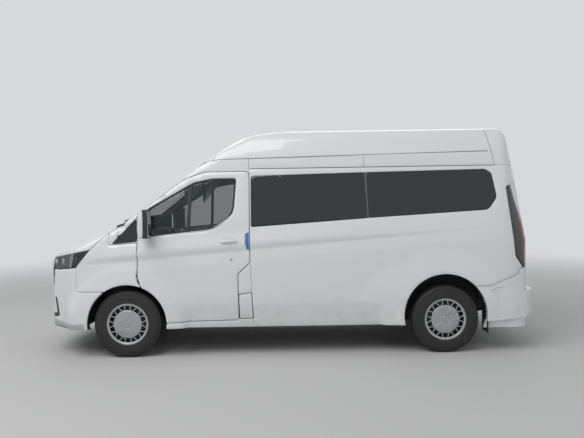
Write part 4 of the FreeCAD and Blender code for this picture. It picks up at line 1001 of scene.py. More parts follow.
SHOULDER_LEVELS = (1.03, 1.07, 1.1, 1.122, 1.134, 1.146, 1.16, 1.175, 1.188, 1.196, 1.202, 1.21, 1.225)
SHOULDER_ROWS = [shoulder(level) for level in SHOULDER_LEVELS]
tail_hole = outline(TAIL_LAMP, grow=SEAM)
at_tail = beyond(0, 2.0)
GATE_LIFT = 7
rear_opening = [(y, z + (GATE_LIFT if z > 2000 else 0), radius) for y, z, radius in TAILGATE]
gate_hole = common(outline(rear_opening, "front", GAP), at_tail)
CUP_HALF = (0.062, 0.031)
HANDLE = (-0.603, 1.196)
SLIDING_HANDLE = (-0.235, 1.205)


def cup_region(x, z, grow=0.0):
    """The oval dish behind a door handle."""
    wide, high = CUP_HALF
    return lambda p: (np.hypot((p[:, 0] - x) / wide, (p[:, 2] - z) / high) - 1) * high - grow


# %% Side skins
left_half, right_half = half(-1), half(1)
doors = {"left": LEFT_DOOR, "right": RIGHT_DOOR}
DOOR_BOX = (-1.60, -0.35, 0.33, 1.95)
for side, sign in SIDES:
    whole = less(outline(doors[side]), FRONT_ARCH, outline(DOOR_GLASS), cup_region(*HANDLE, PANE_GAP))
    region = common(whole, half(sign))
    panel(f"{side}_door_skin", side, region, DOOR_BOX, f"{side}_front_door", PAINT, [f"{side}_door"],
          rows=SHOULDER_ROWS)
    lining(f"{side}_door", f"{side}_front_door", INNER_TRIM, dark=outline(DOOR_GLASS, grow=DARK_EDGE))

shared_openings = (
    REAR_ARCH, FRONT_ARCH, gate_hole, tail_hole, outline(REAR_BUMPER, grow=SEAM),
    outline(SECOND_WINDOW, grow=PANE_GAP))
openings = {
    "left": (
        outline(LEFT_DOOR, grow=GAP), outline(FIRST_WINDOW, grow=PANE_GAP), outline(FUEL_HOLE, grow=FLAP_GAP),
        outline(PANE_JOINT)),
    "right": (outline(RIGHT_DOOR, grow=GAP), outline(SLIDING_DOOR, grow=GAP)),
}
SIDE_BOX = (-1.32, 2.66, 0.28, 1.97)
side_windows = union(*(outline(corners, grow=DARK_EDGE) for corners in (FIRST_WINDOW, SECOND_WINDOW)))
for side, sign in SIDES:
    region = less(outline(SIDE_PANEL), *shared_openings, *openings[side])
    panel(f"{side}_side_skin", side, region, SIDE_BOX, "body", PAINT, [f"{side}_body_side"],
          rows=SHOULDER_ROWS)
    lining(f"{side}_body_side", "body", INNER_TRIM, dark=side_windows)
sliding_region = less(
    outline(SLIDING_DOOR), outline(FIRST_WINDOW, grow=PANE_GAP), cup_region(*SLIDING_HANDLE, PANE_GAP))
panel("sliding_door_skin", "right", sliding_region, (-0.42, 0.9, 0.35, 1.96), "body", PAINT, ["sliding_door"],
      rows=SHOULDER_ROWS)
lining("sliding_door", "body", INNER_TRIM, dark=side_windows)
panel("fuel_flap_skin", "left", outline(FUEL_FLAP), (-0.53, -0.34, 0.37, 0.68), "flap", PAINT, ["fuel_flap"],
      thick=0.006)

# %% [markdown]
# ## Roof
# The high roof is one moulding from the windscreen to the tailgate, and it carries the windscreen
# pillars. It is cut on the fan-shaped chart that runs over the top.

# %% Roof skin
at_nose = beyond(0, -2.3, -1)
ahead_of_cab = beyond(0, -0.9, -1)
screen_hole = common(outline(SCREEN, "front", PANE_GAP), ahead_of_cab)
cowl_strip = common(
    behind_arc(COWL_FAR), less(beyond(2, 1.2), behind_arc(COWL_NEAR - 0.02)), beyond(0, -1.6, -1))
bonnet_hole = less(outline(BONNET, grow=GAP), behind_arc(COWL_FAR))
roof_region = less(
    outline(ROOF_ZONE), screen_hole, cowl_strip, gate_hole, outline(QUARTER, grow=PANE_GAP), bonnet_hole,
    common(outline(LEFT_DOOR, grow=GAP), left_half), common(outline(RIGHT_DOOR, grow=GAP), right_half),
    common(outline(SLIDING_DOOR, grow=GAP), right_half))
panel("roof_skin", "roof", roof_region, (-2.05, 2.58, -1.95, 1.95), "body", PAINT_CLEAN, ["roof"], step=0.033)
round_screen = common(outline(SCREEN, "front", DARK_EDGE), beyond(0, -1.0, -1))
round_panes = union(side_windows, outline(QUARTER, grow=DARK_EDGE), round_screen)
lining("roof", "body", INNER_TRIM, PAINT_CLEAN, dark=round_panes)

# %% [markdown]
# ## Bonnet, wings and bumper
# The nose is round in plan, so its panels are cut on a chart that fans out from a line inside. The
# bonnet climbs over the top, and a dome of rays from one point suits it better.

# %% Front skins
def near_middle(reach):
    """The strip along the middle plane, out to a reach on both sides."""
    return common(beyond(1, reach, -1), beyond(1, -reach))


bonnet_region = less(outline(BONNET), behind_arc(COWL_FAR + GAP))
panel("bonnet_skin", "bonnet", bonnet_region, (-0.80, 0.80, -1.10, 1.10), "bonnet_lid", PAINT, ["bonnet"],
      step=0.026)
lining("bonnet", "bonnet_lid", BLACK_TRIM)
lamp_region = less(outline(HEADLAMP), near_middle(LAMP_INNER))
lamp_hole = less(outline(HEADLAMP, grow=SEAM), near_middle(LAMP_INNER - SEAM))
front_middle = common(near_middle(LAMP_INNER + 0.06), beyond(2, 0.8), at_nose)
# Clearance for the door's front edge as it swings past the lower hinge
hinge_notch = common(outline(LEFT_DOOR, grow=0.017), beyond(2, 0.772), beyond(2, 0.908, -1))
wing_region = less(
    outline(WING), hinge_notch, bonnet_hole, outline(BUMPER, grow=SEAM), lamp_hole, FRONT_ARCH, cowl_strip,
    screen_hole, outline(QUARTER, grow=PANE_GAP), front_middle, outline(LEFT_DOOR, grow=GAP))
for side, sign in SIDES:
    panel(f"{side}_wing_skin", side, common(wing_region, half(sign)), (-2.62, -1.28, 0.28, 1.45), "body", PAINT,
          ["front_wings"], rows=SHOULDER_ROWS, step=0.026)
lining("front_wings", "body", BLACK_TRIM, dark=outline(QUARTER, grow=DARK_EDGE))
INTAKE = [(-560, 455, 60), (-470, 690, 50), (470, 690, 50), (560, 455, 60)]
intake_hole = common(outline(INTAKE, "front"), at_nose)
BUMPER_FOOT = 0.300
bumper_region = less(outline(BUMPER), FRONT_ARCH, intake_hole, beyond(2, BUMPER_FOOT, -1))
panel("front_bumper_skin", "nose", bumper_region, (-1.62, 1.62, 0.24, 0.96), "body", PAINT, ["front_bumper"],
      step=0.026)
lining("front_bumper", "body", BLACK_TRIM, BLACK_TRIM, tuck=BUMPER_FOOT + 0.004)

# %% [markdown]
# ## Tail
# The tailgate is cut on a fan as well, and the rear bumper keeps the CAD's own beam, which stands
# proud of the hull.

# %% Tail skins
def on_gate(corners, grow=0.0):
    """A region on the tailgate, from an outline seen from behind."""
    return common(outline(corners, "front", grow), at_tail)


gate_region = less(on_gate(TAILGATE), outline(TAILGATE_GLASS, "front", PANE_GAP))
panel("tailgate_skin", "tail", gate_region, (-1.0, 1.0, 0.62, 2.08), "rear_gate", PAINT, ["tailgate"],
      step=0.026)
lining("tailgate", "rear_gate", INNER_TRIM, dark=on_gate(TAILGATE_GLASS, DARK_EDGE))

# %% [markdown]
# ## Glass
# Each pane is cut like a panel, a little below the paint. A dark border behind the fixed side panes
# hides the reveal of the window opening, as the printed edge of a real pane does.

# %% Panes
PANE_DEPTH = 0.0006
SCREEN_BOX = (-0.82, 0.82, 1.38, 1.94)
GATE_GLASS_BOX = (-0.9, 0.9, 1.26, 1.92)
FIRST_BOX = (-0.42, 0.88, 1.3, 1.93)
SECOND_BOX = (0.8, 2.24, 1.37, 1.95)
SIDE_PANES = (
    ("left_front_side_pane", "left", FIRST_WINDOW, FIRST_BOX, "left_side_glass"),
    ("left_rear_side_pane", "left", SECOND_WINDOW, SECOND_BOX, "left_side_glass"),
    ("right_rear_side_pane", "right", SECOND_WINDOW, SECOND_BOX, "right_side_glass"),
    ("sliding_door_pane", "right", FIRST_WINDOW, FIRST_BOX, "sliding_door_glass"),
)


def pane(name, chart, region, window, body, finish, node, below=PANE_DEPTH, step=0.04):
    panel(name, chart, region, window, body, finish, [node], below=below, thick=0.005, roll=0.001, step=step)


pane("windscreen_pane", "screen", common(outline(SCREEN, "front", -0.001), ahead_of_cab), SCREEN_BOX, "body",
     CLEAR_GLASS, "windscreen", 0.002)
for side, sign in SIDES:
    pane(f"{side}_door_pane", side, outline(DOOR_GLASS, grow=-0.001), (-1.55, -0.48, 1.2, 1.9),
         f"{side}_front_door", CLEAR_GLASS, f"{side}_door_glass", 0.012)
    pane(f"{side}_quarter_pane", side, outline(QUARTER, grow=-0.001), (-1.86, -1.53, 1.15, 1.5), "body",
         DARK_GLASS, "quarter_glass", step=0.03)
for name, side, corners, box, node in SIDE_PANES:
    pane(name, side, outline(corners, grow=-PANE_GAP), box, "body", DARK_GLASS, node)
pane("tailgate_pane", "tail", on_gate(TAILGATE_GLASS, -PANE_GAP), GATE_GLASS_BOX, "rear_gate", DARK_GLASS,
     "tailgate_glass", 0.002)

# %% Dark borders behind the side panes
BORDER = 0.026
BORDER_DEPTH = 0.0062
CORNER_X = 2.075
for side, sign in SIDES:
    for name, corners, box in (("first", FIRST_WINDOW, FIRST_BOX), ("second", SECOND_WINDOW, SECOND_BOX)):
        whole = outline(corners, grow=-0.001)
        border = common(whole, union(less(whole, outline(corners, grow=-BORDER)), beyond(0, CORNER_X)))
        panel(f"{side}_{name}_pane_border", side, border, box, "body", RUBBER, below=BORDER_DEPTH,
              thick=0.0014, roll=0.0004, cell=0.008)

# %% [markdown]
# ## Shapes that are turned, repeated or softened
# The wheels are turned like on a lathe. Treads, spokes, slats and rows of seats repeat one piece,
# so a small Geometry Nodes tree sets the copies and only one of each is modelled.

# %% A tree that repeats one piece
REPEAT_INPUTS = (
    ("Piece", "NodeSocketGeometry"), ("Count", "NodeSocketInt"), ("Start", "NodeSocketVector"),
    ("Step", "NodeSocketVector"), ("Turn", "NodeSocketVector"), ("Finish", "NodeSocketMaterial"))


def repeat_tree():
    tree = bpy.data.node_groups.new("repeat_piece", "GeometryNodeTree")
    for name, kind in REPEAT_INPUTS:
        tree.interface.new_socket(name, in_out="INPUT", socket_type=kind)
    tree.interface.new_socket("Pieces", in_out="OUTPUT", socket_type="NodeSocketGeometry")
    outputs = tree.nodes.new("NodeGroupInput").outputs
    given = {name: Socket(tree, outputs[name]) for name, kind in REPEAT_INPUTS}
    start = Socket(tree, None)
    line = start.node(
        "GeometryNodeMeshLine", {"mode": "OFFSET"}, Count=given["Count"], Start_Location=given["Start"],
        Offset=given["Step"])
    number = start.node("GeometryNodeInputIndex")
    angles = start.node("ShaderNodeVectorMath", {"operation": "SCALE"}, i0=given["Turn"], Scale=number)
    turned = start.node("FunctionNodeEulerToRotation", Euler=angles)
    one = start.node("GeometryNodeGeometryToInstance", Geometry=given["Piece"])
    copies = start.node("GeometryNodeInstanceOnPoints", Points=line, Instance=one, Rotation=turned)
    real = start.node("GeometryNodeRealizeInstances", Geometry=copies)
    finished = start.node("GeometryNodeSetMaterial", Geometry=real, Material=given["Finish"])
    tree.links.new(finished.socket, tree.nodes.new("NodeGroupOutput").inputs[0])
    return tree


REPEAT = repeat_tree()


def repeated(shape, count, finish, start=(0.0, 0.0, 0.0), step=(0.0, 0.0, 0.0), turn=(0.0, 0.0, 0.0)):
    """A plain mesh with count copies of a shape, each moved by step and turned by turn from the last."""
    unit = mesh_of("unit", *shape)
    holder = bpy.data.objects.new("unit", unit)
    bpy.context.scene.collection.objects.link(holder)
    modifier = holder.modifiers.new("repeat", "NODES")
    modifier.node_group = REPEAT
    values = {"Count": count, "Start": start, "Step": step, "Turn": turn, "Finish": finish}
    for item in REPEAT.interface.items_tree:
        if item.in_out == "INPUT" and item.name in values:
            modifier[item.identifier] = values[item.name]
    result = bpy.data.meshes.new_from_object(holder.evaluated_get(bpy.context.evaluated_depsgraph_get()))
    holder.modifiers.remove(modifier)
    bpy.data.objects.remove(holder)
    bpy.data.meshes.remove(unit)
    return result


# %% Turned shapes, soft boxes and bars
def cleaned(points, faces):
    """The same shape with its doubles merged and its faces pointing outwards."""
    mesh = mesh_of("loose", points, faces)
    work = bmesh.new()
    work.from_mesh(mesh)
    bmesh.ops.remove_doubles(work, verts=work.verts, dist=1e-6)
    bmesh.ops.dissolve_degenerate(work, edges=work.edges, dist=1e-7)
    bmesh.ops.recalc_face_normals(work, faces=work.faces)
    work.verts.index_update()
    shape = np.array([v.co[:] for v in work.verts]), [[v.index for v in face.verts] for face in work.faces]
    work.free()
    bpy.data.meshes.remove(mesh)
    return shape


AXES = {"x": (1, 0, 2), "y": (0, 1, 2), "z": (0, 2, 1)}


def lathe(profile, axis="y", turns=96, centre=(0, 0, 0)):
    """A closed profile of (radius, place along the axis) turned about an axis through the centre."""
    profile = np.asarray(profile, float)
    rows = len(profile)
    angle = np.linspace(0, 2 * math.pi, turns, endpoint=False)
    radius, along = profile[:, 0][None], profile[:, 1][None]
    angle = angle[:, None]
    turned = np.stack([radius * np.cos(angle), along + 0 * angle, radius * np.sin(angle)], -1)
    points = turned.reshape(-1, 3)[:, AXES[axis]] + np.asarray(centre)
    faces = []
    for i in range(turns):
        after = (i + 1) % turns
        for j in range(rows):
            k = (j + 1) % rows
            faces.append((i * rows + j, i * rows + k, after * rows + k, after * rows + j))
    return cleaned(points, faces)


def joined(*shapes):
    points, faces = [], []
    for part, sides in shapes:
        first = sum(len(p) for p in points)
        points.append(np.asarray(part))
        faces += [[first + i for i in side] for side in sides]
    return np.vstack(points), faces


def moved(shape, by):
    return shape[0] + np.asarray(by), shape[1]


def flipped(shape, sign):
    """The shape mirrored across the middle plane when sign is below zero."""
    if sign > 0:
        return shape
    return shape[0] * (1, -1, 1), [side[::-1] for side in shape[1]]


def turned_about(shape, axis, degrees):
    turn = np.array(Matrix.Rotation(math.radians(degrees), 3, axis.upper()))
    return shape[0] @ turn.T, shape[1]


def stops(half, radius, spacing, extra=()):
    """Places along one side of a soft box: close together where it is round."""
    flat = half - radius
    edge = [half - radius * (1 - math.sin(a)) for a in (math.pi / 8, math.pi / 4, 3 * math.pi / 8)] + [half]
    count = max(2, int(2 * flat / spacing) + 1)
    places = list(np.linspace(-flat, flat, count)) + edge + [-e for e in edge] + list(extra)
    places = sorted(places)
    kept = [places[0]]
    for place in places[1:]:
        if place - kept[-1] > 1e-4:
            kept.append(place)
    return np.array(kept)


def soft_box(half, radius, spacing=0.05, crown=(0, 0, 0), extra=((), (), ())):
    """A closed box about the origin with round edges and faces that bulge by crown."""
    half = np.asarray(half, float)
    radius = min(radius, 0.98 * half.min())
    lines = [stops(half[k], radius, spacing, extra[k]) for k in range(3)]
    points, faces = [], []
    for k in range(3):
        i, j = (k + 1) % 3, (k + 2) % 3
        for side in (-1, 1):
            first = sum(len(p) for p in points)
            a, b = np.meshgrid(lines[i], lines[j], indexing="ij")
            grid = np.empty((a.size, 3))
            grid[:, k], grid[:, i], grid[:, j] = side * half[k], a.ravel(), b.ravel()
            points.append(grid)
            n = len(lines[j])
            for u in range(len(lines[i]) - 1):
                for v in range(n - 1):
                    at = first + u * n + v
                    faces.append((at, at + n, at + n + 1, at + 1))
    points = np.vstack(points)
    unit = points / half
    core = np.clip(points, -(half - radius), half - radius)
    out = points - core
    shape = core + out / np.maximum(np.linalg.norm(out, axis=1), 1e-9)[:, None] * radius
    for k in range(3):
        i, j = (k + 1) % 3, (k + 2) % 3
        shape[:, k] += crown[k] * unit[:, k] * (1 - unit[:, i] ** 2) * (1 - unit[:, j] ** 2)
    return cleaned(shape, faces)


def plate(corners, front, rear):
    """A flat plate across the body: rounded corners (y, z, radius) in millimetres, front and rear x."""
    loop = rounded(corners, closed=True, pieces=5)
    n = len(loop)
    both = [np.column_stack([np.full(n, x), loop]) for x in (front, rear)]
    faces = [list(range(n)), list(range(2 * n - 1, n - 1, -1))]
    faces += [(i, (i + 1) % n, n + (i + 1) % n, n + i) for i in range(n)]
    return cleaned(np.vstack(both), faces)


# %% Tubes along a line
def tube(line, radius, sides=8):
    """A round bar along points, with its ends capped."""
    line = np.asarray(line, float)
    n = len(line)
    ahead = np.roll(line, -1, axis=0) - np.roll(line, 1, axis=0)
    ahead[0], ahead[-1] = line[1] - line[0], line[-1] - line[-2]
    ahead /= np.maximum(np.linalg.norm(ahead, axis=1), 1e-9)[:, None]
    up = np.array([0.0, 0.0, 1.0]) if abs(ahead[0][2]) < 0.9 else np.array([1.0, 0.0, 0.0])
    rings = []
    for point, way in zip(line, ahead):
        across = np.cross(way, up)
        across /= np.linalg.norm(across)
        up = np.cross(across, way)
        rings.append([
            point + radius * (across * math.cos(a) + up * math.sin(a))
            for a in np.linspace(0, 2 * math.pi, sides, endpoint=False)])
    points = np.array(rings).reshape(-1, 3)
    faces = []
    for i in range(n - 1):
        for j in range(sides):
            k, after = (j + 1) % sides, i + 1
            faces.append((i * sides + j, i * sides + k, after * sides + k, after * sides + j))
    faces += [list(range(sides)), list(range(n * sides - 1, (n - 1) * sides - 1, -1))]
    return cleaned(points, faces)


def curved(points, count=24):
    """A smooth line through a few points."""
    points = np.asarray(points, float)
    padded = np.vstack([2 * points[0] - points[1], points, 2 * points[-1] - points[-2]])
    line = []
    for a, b, c, d in zip(padded, padded[1:], padded[2:], padded[3:]):
        for t in np.linspace(0, 1, count, endpoint=False):
            bend = (2 * a - 5 * b + 4 * c - d) * t**2 + (3 * b - a - 3 * c + d) * t**3
            line.append(0.5 * (2 * b + (c - a) * t + bend))
    return np.array(line + [points[-1]])


# %% [markdown]
# ## More finishes
# Tyres are dull and a little brown with dust, wheels are silver lacquer, the underside is dark
# paint with road dirt, and the seats are woven cloth.

# %% Finishes for wheels, underside and cabin
def tyre_finish():
    finish = Finish("tyre_rubber", (0.022, 0.022, 0.023), 0.75)
    dirt = finish.noise(7.0, 6.0, 0.6).between(0.35, 0.75)
    fine = finish.noise(220.0, 2.0)
    finish.set(Base_Color=(dirt * 0.6 + fine * 0.15).tint((0.015, 0.015, 0.016), (0.042, 0.039, 0.035)))
    finish.set(Roughness=dirt * 0.2 + 0.62)
    finish.bump(fine, 0.25, 0.0006)
    return finish.material


def metal_finish(name, colour, metallic, roughness, dirt_colour, dirt=0.5, coat=0.0, grain=180.0):
    finish = Finish(name, colour, roughness, Metallic=metallic, Coat_Weight=coat, Coat_Roughness=0.08)
    patches = finish.noise(6.0, 6.0, 0.65).between(0.4, 0.8)
    fine = finish.noise(grain, 2.0)
    amount = (patches * 0.7 + fine * patches * 0.5) * dirt
    finish.set(Base_Color=amount.tint(colour, dirt_colour))
    finish.set(Roughness=amount * 0.35 + roughness)
    finish.bump(fine, 0.08, 0.0005)
    return finish.material


THREAD = 420.0


def cloth_finish(name, colour, light):
    finish = Finish(name, colour, 0.9, Sheen_Weight=0.25)
    x, y, z = finish.xyz()
    warp = ((x + z) * THREAD * 6.0).maths("SINE")
    weft = (y * THREAD * 6.0).maths("SINE")
    weave = warp * weft * 0.5 + 0.5
    patches = finish.noise(14.0, 4.0)
    finish.set(Base_Color=(weave * 0.5 + patches * 0.4).tint(colour, light))
    finish.bump(weave, 0.4, 0.0008)
    return finish.material


TYRE = tyre_finish()
WHEEL_SILVER = metal_finish("wheel_silver", (0.42, 0.43, 0.44), 0.4, 0.34, (0.20, 0.19, 0.17), 0.45, 0.4)
RIB_SILVER = metal_finish("rib_silver", (0.66, 0.67, 0.68), 0.3, 0.25, (0.4, 0.4, 0.4), 0.2, 0.5)
WHEEL_STEEL = metal_finish("wheel_steel", (0.030, 0.030, 0.033), 0.2, 0.5, (0.09, 0.08, 0.07), 0.6)
CHASSIS = metal_finish("chassis_paint", (0.028, 0.028, 0.030), 0.1, 0.55, (0.11, 0.10, 0.085), 0.8)
CAST = metal_finish("cast_metal", (0.20, 0.20, 0.205), 0.6, 0.55, (0.09, 0.075, 0.06), 0.8, grain=300.0)
EXHAUST = metal_finish("exhaust_steel", (0.36, 0.34, 0.31), 0.85, 0.4, (0.20, 0.12, 0.07), 0.8)
SEAT_CLOTH = cloth_finish("seat_cloth", (0.055, 0.058, 0.066), (0.10, 0.105, 0.115))
GLOSS_BLACK = metal_finish("gloss_black", (0.012, 0.012, 0.013), 0.0, 0.12, (0.03, 0.03, 0.03), 0.3, 0.6)


def dress(names, finish):
    """Gives CAD nodes that stay in view their finish."""
    for name in names:
        for slot in nodes[name].material_slots:
            slot.material = finish


# %% [markdown]
# ## Wheels
# Each wheel is a dark steel wheel with a silver cover: a bright outer ring, ten V-shaped pairs of
# spokes over dark windows, and a flat disc with five thin ribs. The tyre's side is one turned
# profile. Its tread is five rows of blocks, made once and set 62 times round the axle.

# %% Tyre
TYRE_SIDE = [
    (205, -82, 0), (205, 82, 0), (209, 93, 3), (219, 100, 4), (226, 104, 2), (230, 102.2, 2), (252, 104, 20),
    (284, 104.6, 30), (287, 103, 2), (318, 98, 25), (340.5, 84, 8), (342, 60, 0), (342, -60, 0),
    (340.5, -84, 8), (318, -98, 25), (287, -103, 2), (284, -104.6, 30), (252, -104, 20), (230, -102.2, 2),
    (219, -100, 4), (209, -93, 3),
]
TREAD_ROWS = ((-86, -59, 0.0), (-51, -22, 0.5), (-14, 14, 0.2), (22, 51, 0.7), (59, 86, 0.35))
TREAD_COUNT = 62
TREAD_BASE = 0.3405
TREAD_GAP = 0.0045
# The blocks' sides lean, their tops round off towards the shoulders, and their feet are let in
BLOCK_SLOPE = 0.0011
BLOCK_LEAN = 0.008
BLOCK_SUNK = 0.002
SHOULDER_DROP = 0.004
SHOULDER_FROM = 0.055
SHOULDER_WIDTH = 0.031


def tread_blocks():
    """One block in each of the five rows."""
    pitch = 2 * math.pi / TREAD_COUNT
    reach = pitch / 2 - TREAD_GAP / TYRE_RADIUS / 2
    shapes = []
    for start, end, phase in TREAD_ROWS:
        corners = []
        for height, slope in ((TREAD_BASE, 0), (TYRE_RADIUS, BLOCK_SLOPE)):
            for along, lean in ((start * MM + slope, -1), (end * MM - slope, 1)):
                for side in (-1, 1):
                    angle = phase * pitch + side * (reach - slope / TYRE_RADIUS) + lean * BLOCK_LEAN
                    drop = SHOULDER_DROP * max(0, (abs(along) - SHOULDER_FROM) / SHOULDER_WIDTH) ** 2
                    radius = height - (drop if height == TYRE_RADIUS else BLOCK_SUNK)
                    corners.append((radius * math.cos(angle), along, radius * math.sin(angle)))
        faces = [(0, 1, 3, 2), (4, 5, 7, 6), (0, 1, 5, 4), (2, 3, 7, 6), (0, 2, 6, 4), (1, 3, 7, 5)]
        shapes.append(cleaned(corners, faces))
    for angle in (0.25, 0.75):
        rib = soft_box((0.012, 0.0012, 0.0022), 0.0010, 0.02)
        rib = moved(rib, (0.3035, 0, 0))
        for side in (-1, 1):
            shapes.append(turned_about(moved(rib, (0, side * 0.1003, 0)), "y", math.degrees(angle * pitch)))
    return joined(*shapes)


# %% Steel wheel and silver cover
STEEL_WHEEL = [
    (219, -90, 2), (219, -84, 2), (207, -80, 3), (204, -60, 8), (190, -40, 8), (190, 30, 8), (204, 60, 8),
    (207, 78, 3), (219, 82, 2), (219, 84, 2), (212, 83, 2), (200, 74, 3), (196, 58, 6), (184, 34, 6),
    (184, 46, 8), (150, 56, 20), (112, 46, 12), (84, 65, 10), (0.2, 65, 0), (0.2, 60, 0), (80, 60, 8),
    (110, 38, 12), (150, 48, 20), (176, 38, 8), (180, -36, 6), (196, -60, 6), (200, -76, 3), (212, -88, 2),
]
COVER_RING = [
    (192, 82, 1), (192.5, 90.5, 1.5), (197, 93, 3), (206, 97.5, 5), (216, 97.5, 3), (220.5, 93, 2),
    (220.5, 85, 1), (212, 85, 1), (200, 84, 1),
]
COVER_DISC = [
    (0.2, 82, 0), (0.2, 98.5, 0), (38, 98.5, 1.5), (40.5, 95.6, 1), (43.5, 95.6, 1), (46, 98.2, 1.5),
    (100, 97.6, 10), (136, 95, 10), (146, 91, 2), (147, 84, 1), (138, 82, 1),
]
SPOKE_INNER = 0.1435
SPOKE_OUTER = 0.1960
SPOKE_PAIRS = 10
SPOKE_HALF = 0.0046
SPOKE_SPREAD = (4.0, 11.0)
RIBS = 5
HALF_STEP = 36.0


def spoke_pair():
    """Two spokes that open outwards like a V."""
    shapes = []
    for side in (-1, 1):
        inner, outer = [math.radians(spread * side) for spread in SPOKE_SPREAD]
        start = np.array([SPOKE_INNER * math.cos(inner), 0, SPOKE_INNER * math.sin(inner)])
        end = np.array([SPOKE_OUTER * math.cos(outer), 0, SPOKE_OUTER * math.sin(outer)])
        length = np.linalg.norm(end - start)
        bar = soft_box((length / 2, 0.0055, SPOKE_HALF), 0.0022, 0.03)
        angle = math.degrees(math.atan2(-(end - start)[2], (end - start)[0]))
        bar = turned_about(bar, "y", angle)
        shapes.append(moved(bar, (start + end) / 2 + (0, 0.0862, 0)))
    return joined(*shapes)


def rib_and_bump():
    rib = moved(soft_box((0.047, 0.0030, 0.0023), 0.0012, 0.02), (0.099, 0.0990, 0))
    bump = lathe([(0.0002, 0.096), (0.0002, 0.1015), (0.0045, 0.1005), (0.0065, 0.096)], turns=12)
    bump = turned_about(moved(bump, (0.055, 0, 0)), "y", HALF_STEP)
    return joined(rib, bump)


# %% All four wheels
TURNED_PARTS = (
    ("tyre_side", TYRE_SIDE, 5, 96, TYRE, "tyre"),
    ("steel_wheel", STEEL_WHEEL, 3, 72, WHEEL_STEEL, "wheel"),
    ("cover_ring", COVER_RING, 4, 96, WHEEL_SILVER, None),
    ("cover_disc", COVER_DISC, 4, 96, WHEEL_SILVER, None),
)
REPEATED_PARTS = (
    ("tread", tread_blocks, TREAD_COUNT, TYRE), ("spokes", spoke_pair, SPOKE_PAIRS, WHEEL_SILVER),
    ("ribs", rib_and_bump, RIBS, RIB_SILVER),
)


def wheel_at(name, centre, sign):
    for part, profile, pieces, turns, finish, node in TURNED_PARTS:
        shape = lathe(rounded(profile, closed=True, pieces=pieces), turns=turns)
        shape = moved(flipped(shape, sign), centre)
        piece(f"{name}_{part}", *shape, name, finish, [f"{name}_{node}"] if node else ())
    for part, make, count, finish in REPEATED_PARTS:
        turn = (0.0, 2 * math.pi / count, 0.0)
        copies = repeated(flipped(make(), sign), count, finish, centre, turn=turn)
        keep(f"{name}_{part}", copies, name, finish)


WHEEL_Y = 0.868
for side, sign in SIDES:
    for end, along in (("front", FRONT), ("rear", REAR)):
        wheel_at(f"{side}_{end}", (along, sign * WHEEL_Y, WHEEL_Z), sign)
print("wheels at", round(FRONT, 3), round(REAR, 3))

# %% [markdown]
# ## Lamps
# A headlamp is a clear cover over a dark housing with a bright bowl in the nose, two round eyes at
# the side and a silver bracket. The tail lamp is a dark smoked lens with a deep red zone along its
# rear edge, as the real one shows.

# %% Lamp finishes
def lens_finish():
    finish = Finish("lamp_lens", (0.04, 0.045, 0.055), 0.03, Alpha=0.16, Coat_Weight=1.0, Coat_Roughness=0.02)
    finish.set(Roughness=finish.noise(40.0, 2.0) * 0.04 + 0.02)
    return finish.material


def tail_lens_finish():
    finish = Finish("tail_lens", (0.20, 0.008, 0.01), 0.1, Coat_Weight=1.0, Coat_Roughness=0.03)
    x, y, z = finish.xyz()
    edge = 2.395 + (1.75 - z) * 0.10
    red = (x - edge).between(-0.006, 0.006)
    lines = (z * 700.0).maths("SINE").between(0.2, 0.9)
    dark = red.tint((0.012, 0.010, 0.011), (0.19, 0.008, 0.010))
    finish.set(Base_Color=(lines * 0.35 * red).tint(dark, (0.05, 0.003, 0.004)))
    finish.set(Roughness=lines * 0.08 + 0.07)
    finish.bump(lines, 0.15, 0.0008)
    return finish.material


LENS = lens_finish()
TAIL_LENS = tail_lens_finish()
MIRROR_GLASS = Finish("mirror_glass", (0.75, 0.77, 0.79), 0.03, Metallic=1.0)
MIRROR_GLASS.set(Roughness=MIRROR_GLASS.noise(12.0) * 0.03 + 0.02)
CHROME_FINISH = Finish("bright_metal", (0.72, 0.73, 0.75), 0.12, Metallic=1.0)
CHROME_FINISH.set(Roughness=CHROME_FINISH.noise(25.0) * 0.1 + 0.08)
CHROME = CHROME_FINISH.material
SILVER = metal_finish("silver_paint", (0.50, 0.51, 0.53), 0.6, 0.3, (0.30, 0.30, 0.30), 0.3, 0.4)
BLANK_PLATE = grained("blank_plate", (0.72, 0.73, 0.74), 0.35, 60.0, 0.02)

# %% Headlamps
def ring(centre, outer, inner):
    """A band on the skin between two distances from a point."""
    return lambda p: np.abs(np.linalg.norm(p - centre, axis=1) - (outer + inner) / 2) - (outer - inner) / 2


def to_side(sign, near, far):
    """A window's range across the nose or tail, on one side of the middle."""
    return (near, far) if sign > 0 else (-far, -near)


BOWL_Y, BOWL_Z = 0.620, 0.975
BOWL_RADIUS = 0.042
BOWL_FORM = [
    (BOWL_RADIUS, 0.0085), (BOWL_RADIUS + 0.002, 0.0085), (BOWL_RADIUS - 0.006, 0.030), (0.018, 0.050),
    (0.0002, 0.055), (0.0002, 0.052), (0.016, 0.047), (BOWL_RADIUS - 0.009, 0.028),
]
BULB_FORM = [(0.0002, 0.0), (0.006, 0.002), (0.009, 0.010), (0.009, 0.026), (0.0002, 0.028)]
EYES = ((-2.492, 0.990), (-2.385, 1.003))
EYE_RADIUS = 0.034
EYE_PARTS = (("rim", 1.0, 0.82, SILVER), ("eye", 0.68, -0.68, MIRROR_GLASS.material))
BRACKET = [(-2266, 1100, 0), (-2222, 1100, 0), (-2262, 948, 0), (-2296, 930, 0)]
IN_LAMP = {"below": 0.0045, "thick": 0.0015, "roll": 0.0006}
dress(["headlamps"], GLOSS_BLACK)
